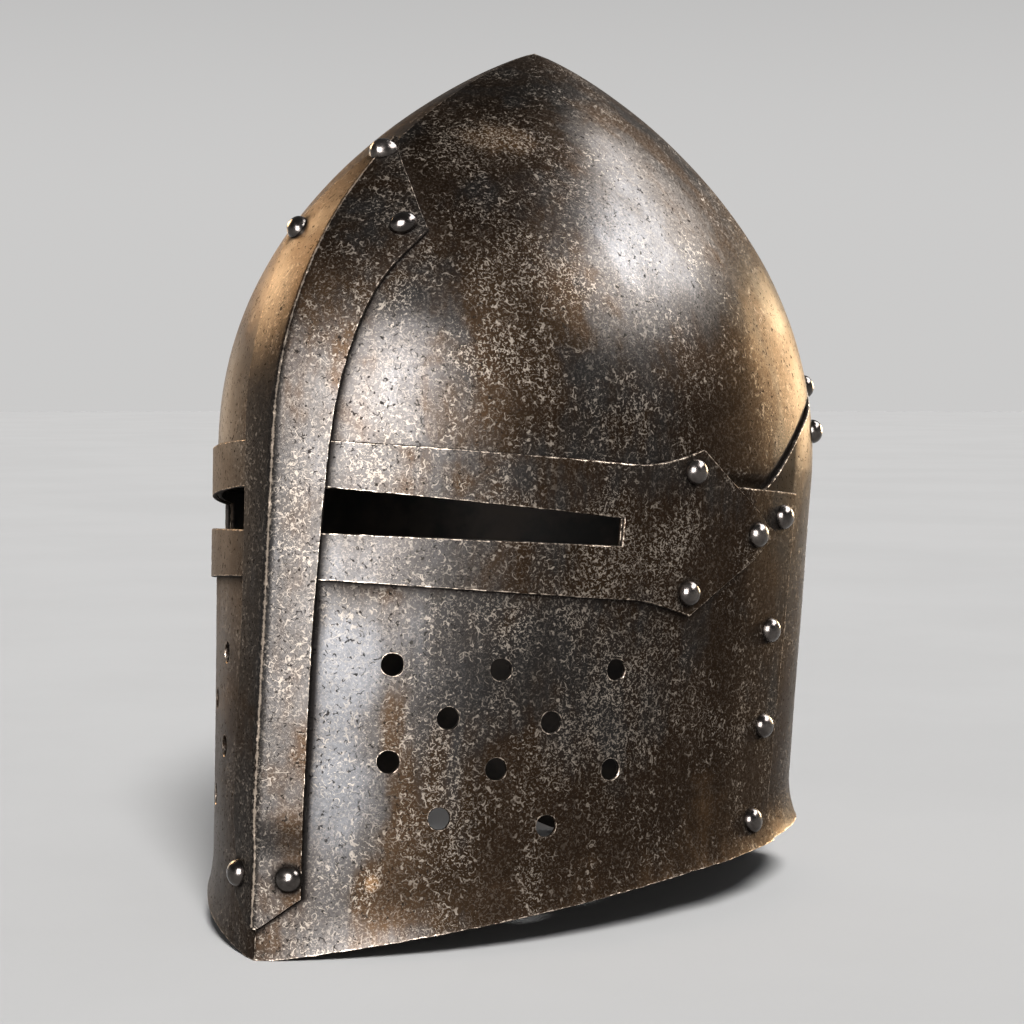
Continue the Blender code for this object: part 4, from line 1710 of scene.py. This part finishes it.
@dataclass(frozen=True)
class Crown(Plate):
    """The pointed skull, tucked in under the top borders of the other plates."""

    pitch: float = 0.0022
    row_counts: tuple[int, ...] = (6, 7, 66, 22, 8, 1)
    overlap: float = 0.010
    tuck_margin: float = 0.0006
    tuck_height: float = 0.006
    near_tip: tuple[float, float, float] = (0.040, 0.010, 0.0016)
    tip_depth: float = 1.3
    border_dirt_and_shade: float = 0.0030
    strip_dirt_and_shade: float = 0.0020
    strip_dirt_and_shade_share: float = 0.9
    crease_width: float = 0.0007
    crease_wear_and_highlight: float = 0.75
    tip_reach: float = 0.0022
    apex_margin: float = 0.004
    near_keel: float = 0.05
    tip_wear: float = 0.9

    def lift(self, turn: float, height: float) -> float:
        """Lift of the outer face: it dips in towards the border."""
        above = height - self.shop.shell.border(turn) - self.tuck_margin
        return -self.shop.shell.layer * (1.0 - eased(above / (self.tuck_height - self.tuck_margin)))

    def sheet_point(self, turn: float, height: float, depth: float) -> Vector:
        """Place of a point of the sheet at a depth, closed by the apex.

        Args:
            turn: turn of the point.
            height: its height.
            depth: how far it lies under the outer face.

        Returns:
            The point.
        """
        shell = self.shop.shell
        if height > shell.height - self.near_tip[-1] / 2.0:
            return shell.tip - Vector((0.0, 0.0, depth * self.tip_depth))
        return shell.lifted(turn, height, self.lift(turn, height) - depth)

    def grime(self, turn: float, height: float) -> float:
        """Dirt and painted shade over the border of the plates and beside the keel strip.

        Args:
            turn: round the shell, 0 at the keel and 2 at the back.
            height: over the ground, in metres.

        Returns:
            The dirt and shade, from 0 to 1.
        """
        shop = self.shop
        border = nearness(height - shop.shell.border(turn), self.border_dirt_and_shade)
        beside = nearness(shop.strip.gap(shop.shell, turn, height), self.strip_dirt_and_shade)
        return max(border, self.strip_dirt_and_shade_share * beside)

    def worn(self, turn: float, height: float) -> float:
        """Wear of the keel's crease over the strip, and of the apex, with a painted highlight along the
        crease.

        Args:
            turn: round the shell, 0 at the keel and 2 at the back.
            height: over the ground, in metres.

        Returns:
            The wear and highlight, from 0 to 1.
        """
        shell = self.shop.shell
        below_tip = shell.height - self.apex_margin
        away = abs(turn) * shell.turn_length(KEEL_SIDE, min(height, below_tip))
        return max(self.crease_wear_and_highlight * nearness(away, self.crease_width),
                   self.tip_wear * nearness(shell.height - height, self.tip_reach))

    def build(self) -> bpy.types.Object:
        """Make the crown.

        Returns:
            The finished piece.
        """
        shop = self.shop
        shell = shop.shell
        knots = (0.0, 0.5 * shell.keel_fold, shell.keel_fold, self.near_keel, 1.0, BACK_TURN)
        turns = shell.ruled(mirrored(knots), self.pitch)
        columns = []
        for turn in turns:
            border = shell.border(turn)
            levels = (border - self.overlap, border + self.tuck_margin, border + self.tuck_height,
                      *(shell.height - drop for drop in self.near_tip), shell.height)
            columns.append(stacked(levels, self.row_counts))
        blank = Blank(len(turns) - 1, sum(self.row_counts))
        blank.spread(lambda column, row: (turns[column], columns[column][row]))
        blank.mark(worn=self.worn, grime=self.grime, brown=brown_and_highlight, hairy=hairiness)
        blank.thicken(lambda turn, height: self.sheet_point(turn, height, 0.0),
                      lambda turn, height: self.sheet_point(turn, height, shell.sheet), shell)
        finishes = shop.finishes
        return blank.finish("crown_sheet", shop.stance, [finishes.plate, finishes.inside])


@dataclass(frozen=True)
class SightBar(Plate):
    """The level bar with its two eye slots and its spear-shaped ends."""

    pitch: float = 0.00135
    row_counts: tuple[int, ...] = (14, 10, 14)
    strip_shadow: float = 0.0008

    def lift(self, turn: float, height: float) -> float:
        """Lift of the outer face, one layer over the face plate."""
        return self.shop.shell.lap(turn) + self.shop.shell.layer

    def grime(self, turn: float, height: float) -> float:
        """Dirt and painted shade beside the strip and round the rivets.

        Args:
            turn: round the shell, 0 at the keel and 2 at the back.
            height: over the ground, in metres.

        Returns:
            The dirt and shade, from 0 to 1.
        """
        shop = self.shop
        return max(shop.strip_shadow(turn, height, self.strip_shadow),
                   shop.rivet_dirt_and_shade(turn, height))

    def build(self) -> bpy.types.Object:
        """Make the bar.

        Returns:
            The finished piece.
        """
        shop = self.shop
        shell = shop.shell
        sight = shop.sight
        knots = (0.0, 0.5 * shell.keel_fold, shell.keel_fold, sight.bridge_turn, sight.slot_turn,
                 sight.neck_turn, sight.shoulder_turn, shell.lap_start, shell.lap_turn,
                 sight.tip_turn)
        turns = shell.ruled(mirrored(knots), self.pitch)
        columns = []
        for turn in turns:
            low, high = sight.bar(turn)
            slot_low, slot_high = sight.slot(turn)
            if abs(turn) > sight.slot_turn:
                span = sight.high - sight.low
                slot_low = low + (high - low) * (slot_low - sight.low) / span
                slot_high = low + (high - low) * (slot_high - sight.low) / span
            columns.append(stacked((low, slot_low, slot_high, high), self.row_counts))
        blank = Blank(len(turns) - 1, sum(self.row_counts))
        blank.spread(lambda column, row: (turns[column], columns[column][row]))
        blank.open_where(lambda turn, height: sight.in_slot(turn)
                         and sight.slot(turn)[0] < height < sight.slot(turn)[1])
        blank.mark(grime=self.grime, brown=brown_and_highlight, hairy=hairiness)
        blank.thicken(self.outer, self.inner, shell)
        finishes = shop.finishes
        return blank.finish("sight_bar_sheet", shop.stance, [finishes.trim, finishes.inside])


@dataclass(frozen=True)
class KeelStrip(Plate):
    """The folded strip over the keel: pointed foot, straight sides, spear-shaped top."""

    share_pitch: float = 0.0046
    column_pitch: float = 0.064
    fold_shares: tuple[float, ...] = (0.0, 0.010, 0.020, 0.045, 0.085)
    crease_width: float = 0.0004
    rim_wear: float = 0.1

    def lift(self, turn: float, height: float) -> float:
        """Lift of the outer face."""
        shop = self.shop
        return shop.strip.stand(shop.shell, height) + shop.shell.sheet

    def place(self, turn: float, height: float, depth: float) -> Vector:
        """Place of a point of the strip at a depth, over the lip of the plate under it.

        Args:
            turn: round the shell, 0 at the keel and 2 at the back.
            height: over the ground, in metres.
            depth: under the outer face, in metres.

        Returns:
            The place.
        """
        shell = self.shop.shell
        lift = self.lift(turn, height) + shell.lip(turn, height)
        return shell.lifted(turn, height, lift - depth)

    def worn(self, turn: float, height: float) -> float:
        """Wear of the fold, with a painted highlight along its ridge."""
        away = abs(turn) * self.shop.shell.turn_length(KEEL_SIDE, height)
        return nearness(away, self.crease_width)

    def build(self) -> bpy.types.Object:
        """Make the strip.

        Returns:
            The finished piece.
        """
        shop = self.shop
        strip = shop.strip
        across = spaced(mirrored((*self.fold_shares, 1.0)), self.column_pitch)
        shares = spaced(tuple(row[0] for row in STRIP_EDGE.rows), self.share_pitch)

        def outline(column: int, row: int) -> tuple[float, float]:
            height = strip.foot + (strip.top - strip.foot) * shares[row]
            return strip.half_turn(height) * across[column], height

        blank = Blank(len(across) - 1, len(shares) - 1, self.rim_wear)
        blank.spread(outline)
        blank.mark(worn=self.worn, grime=shop.rivet_dirt_and_shade)
        blank.thicken(lambda turn, height: self.place(turn, height, 0.0),
                      lambda turn, height: self.place(turn, height, shop.shell.sheet), shop.shell)
        finishes = shop.finishes
        return blank.finish("keel_strip_sheet", shop.stance, [finishes.trim, finishes.inside])


@dataclass(frozen=True)
class Rivet:
    """One domed rivet head, hammered a little uneven."""

    shop: Workshop
    spot: Spot
    around: int = 40
    rings: int = 24
    stand: float = 0.00012
    fullness: float = 2.15
    hammered: float = 0.00012
    hammer_marks: float = 420.0
    foot_dirt_and_shade: float = 0.0005

    def ground(self, sideways: float, upwards: float) -> Vector:
        """The point of the metal under a point of the head's foot.

        Args:
            sideways: metres from the middle of the head.
            upwards: metres over the middle of the head.

        Returns:
            The point.
        """
        shell = self.shop.shell
        spot = self.spot
        turn = spot.turn + sideways / shell.turn_length(spot.turn, spot.height)
        height = spot.height + upwards / shell.rise_length(spot.turn, spot.height)
        return shell.lifted(turn, height, spot.lift + self.stand + shell.lip(turn, height))

    def build(self) -> bpy.types.Object:
        """Make the head.

        Returns:
            The finished piece.
        """
        fittings = self.shop.fittings
        mesh = bmesh.new()
        mesh.verts.layers.float.new("worn")
        mesh.verts.layers.float.new("grime")
        grime = mesh.verts.layers.float["grime"]
        bmesh.ops.create_uvsphere(mesh, u_segments=self.around, v_segments=self.rings, radius=1.0)
        bmesh.ops.bisect_plane(mesh, geom=mesh.verts[:] + mesh.edges[:] + mesh.faces[:],
                               plane_co=(0.0, 0.0, 0.0), plane_no=(0.0, 0.0, 1.0), clear_inner=True)
        rim = [edge for edge in mesh.edges if edge.is_boundary]
        bmesh.ops.holes_fill(mesh, edges=rim, sides=0)
        bmesh.ops.recalc_face_normals(mesh, faces=mesh.faces)
        radius = fittings.rivet_radius
        across = (self.ground(radius, 0.0) - self.ground(-radius, 0.0)).normalized()
        upright = (self.ground(0.0, radius) - self.ground(0.0, -radius)).normalized()
        axis = across.cross(upright).normalized()
        for vertex in mesh.verts:
            out = math.hypot(vertex.co.x, vertex.co.y)
            dome = math.sqrt(max(1.0 - out ** self.fullness, 0.0)) if vertex.co.z > ROUNDING else 0.0
            foot = self.ground(vertex.co.x * radius, vertex.co.y * radius)
            uneven = self.hammered * noise.noise(foot * self.hammer_marks) * dome
            # Dirt and painted shade where the head meets the plate.
            vertex[grime] = nearness(dome * fittings.rivet_height, self.foot_dirt_and_shade)
            vertex.co = foot + axis * (dome * fittings.rivet_height + uneven)
        return finished(mesh, f"{self.spot.name}_head", self.shop.stance,
                        [self.shop.finishes.rivet], Blank.SHARP)


def bearing(azimuth: float, elevation: float) -> Vector:
    """Unit vector from the helm at an azimuth from its front and an elevation, in degrees.

    Args:
        azimuth: degrees round the helm, from its front.
        elevation: degrees over the ground.

    Returns:
        The unit vector.
    """
    around = math.radians(azimuth)
    up = math.radians(elevation)
    level = math.cos(up)
    return Vector((math.sin(around) * level, -math.cos(around) * level, math.sin(up)))


@dataclass(frozen=True)
class Softbox:
    """One soft lamp: where it stands round the helm, its size, its light."""

    name: str
    azimuth: float
    elevation: float
    distance: float
    width: float
    height: float
    power: float
    colour: tuple[float, float, float] = (1.0, 1.0, 1.0)

    def set_up(self, target: Vector) -> None:
        """Set the lamp up, turned to the helm.

        Args:
            target: the point that it shines at.
        """
        lamp = bpy.data.lights.new(self.name, "AREA")
        lamp.shape = "RECTANGLE"
        lamp.size = self.width
        lamp.size_y = self.height
        lamp.energy = self.power
        lamp.color = self.colour
        toward = bearing(self.azimuth, self.elevation)
        stand = bpy.data.objects.new(self.name, lamp)
        stand.location = target + toward * self.distance
        stand.rotation_euler = toward.to_track_quat("Z", "Y").to_euler()
        stand.visible_camera = False
        stand.visible_diffuse = False
        bpy.context.scene.collection.objects.link(stand)


LAMP_TARGET = 0.17
SOFTBOXES = (
    Softbox("key_softbox", 155.0, 42.5, 2.4, 1.1, 1.1, 70.0),
    Softbox("key_wing", 121.0, 41.0, 2.4, 1.4, 0.8, 95.0, (0.98, 0.99, 1.0)),
    Softbox("front_softbox", 27.0, 18.0, 2.6, 1.6, 1.8, 310.0, (0.97, 0.98, 1.0)),
    Softbox("amber_reflector", 169.0, 8.0, 2.2, 0.8, 0.7, 50.0, (1.0, 0.76, 0.46)),
    Softbox("peach_lamp", -107.0, 24.0, 2.4, 0.9, 0.8, 38.0, (1.0, 0.68, 0.38)),
    Softbox("gold_reflector", -110.0, 0.0, 2.4, 1.3, 0.6, 5.0, (1.0, 0.74, 0.48)),
)


@dataclass(frozen=True)
class FarLamp:
    """A broad round lamp so far away that it lights the whole floor evenly."""

    name: str = "floor_lamp"
    azimuth: float = 42.0
    elevation: float = 38.0
    breadth: float = 16.0
    strength: float = 5.0

    def set_up(self, target: Vector) -> None:
        """Set the lamp up, turned to the helm.

        Args:
            target: the point that it shines at.
        """
        lamp = bpy.data.lights.new(self.name, "SUN")
        lamp.angle = math.radians(self.breadth)
        lamp.energy = self.strength
        toward = bearing(self.azimuth, self.elevation)
        stand = bpy.data.objects.new(self.name, lamp)
        stand.location = target + toward
        stand.rotation_euler = toward.to_track_quat("Z", "Y").to_euler()
        stand.visible_glossy = False
        bpy.context.scene.collection.objects.link(stand)


@dataclass(frozen=True)
class Studio:
    """The floor, the lamps and the camera."""

    target: Vector
    floor_radius: float = 14.0
    floor_corners: int = 96
    near_clip: float = 0.01
    camera_place: tuple[float, float, float] = (0.5730, -0.8604, 0.2113)
    camera_azimuth: float = 32.88
    camera_drop: float = 3.07
    lens: float = 89.7
    sensor: float = 36.0
    horizon: Colour = (0.60, 0.595, 0.59, 1.0)
    zenith: Colour = (0.12, 0.12, 0.122, 1.0)
    horizon_rise: float = 0.06
    zenith_rise: float = 0.42

    def lay_floor(self) -> None:
        """Lay the plain pale floor."""
        mesh = bmesh.new()
        bmesh.ops.create_circle(mesh, cap_ends=True, segments=self.floor_corners,
                                radius=self.floor_radius)
        data = bpy.data.meshes.new("floor")
        mesh.to_mesh(data)
        mesh.free()
        pale = PlainFinish("pale_floor", (0.54, 0.535, 0.53, 1.0), (0.56, 0.555, 0.55, 1.0),
                           gloss=0.85, metallic=0.0, cloud_pitch=0.4, grain_pitch=0.004,
                           grain_depth=0.0001, shine=0.0)
        data.materials.append(pale.make())
        floor = bpy.data.objects.new("floor", data)
        bpy.context.scene.collection.objects.link(floor)

    def light(self) -> None:
        """Set up the surround and the lamps."""
        world = bpy.data.worlds.new("studio")
        world.use_nodes = True
        tree = world.node_tree
        place = tree.nodes.new("ShaderNodeTexCoord").outputs["Generated"]
        apart = tree.nodes.new("ShaderNodeSeparateXYZ")
        tree.links.new(place, apart.inputs["Vector"])
        rise = tree.nodes.new("ShaderNodeMapRange")
        rise.interpolation_type = "SMOOTHSTEP"
        rise.inputs["From Min"].default_value = self.horizon_rise
        rise.inputs["From Max"].default_value = self.zenith_rise
        tree.links.new(apart.outputs["Z"], rise.inputs["Value"])
        sky = tree.nodes.new("ShaderNodeMix")
        sky.data_type = "RGBA"
        sky.inputs[Bench.MIX_FIRST].default_value = self.horizon
        sky.inputs[Bench.MIX_SECOND].default_value = self.zenith
        tree.links.new(rise.outputs["Result"], sky.inputs[Bench.MIX_FACTOR])
        tree.links.new(sky.outputs[Bench.MIX_RESULT], tree.nodes["Background"].inputs["Color"])
        bpy.context.scene.world = world
        for lamp in (FarLamp(), *SOFTBOXES):
            lamp.set_up(self.target)

    def set_camera(self) -> None:
        """Set up the camera at the photo's place."""
        lens = bpy.data.cameras.new("camera")
        lens.lens = self.lens
        lens.sensor_width = self.sensor
        lens.clip_start = self.near_clip
        camera = bpy.data.objects.new("camera", lens)
        camera.location = self.camera_place
        camera.rotation_euler = (math.radians(90.0 - self.camera_drop), 0.0,
                                 math.radians(self.camera_azimuth))
        bpy.context.scene.collection.objects.link(camera)
        bpy.context.scene.camera = camera
        bpy.context.scene.view_settings.view_transform = "Standard"


def main() -> None:
    """Build the helm's visual pieces in order, then the studio round it."""
    logging.basicConfig(level=logging.INFO, format="%(message)s", force=True)
    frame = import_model()
    shell = Shell()
    stance = Stance.over(frame["nodes"]["crown"], shell)
    sight = SightLines()
    strip = StripLines()
    fittings = Fittings()
    shop = Workshop(shell, sight, strip, fittings, fittings.spots(shell, sight, strip), stance,
                    Finishes.mixed())
    sheets = (
        (Crown(shop), "crown", Metal.PLATE),
        (BackPlate(shop), "back_plate", Metal.PLATE),
        (FacePlate(shop), "face_plate", Metal.PLATE),
        (SightBar(shop), "sight_bar", Metal.TRIM),
        (KeelStrip(shop), "keel_strip", Metal.TRIM),
    )
    for part, node, metal in sheets:
        made = part.build()
        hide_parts(node)
    for spot in shop.spots:
        made = Rivet(shop, spot).build()
        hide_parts(spot.name)
    studio = Studio(Vector((0.0, 0.0, LAMP_TARGET)))
    studio.lay_floor()
    studio.light()
    studio.set_camera()


if __name__ == "__main__":
    main()
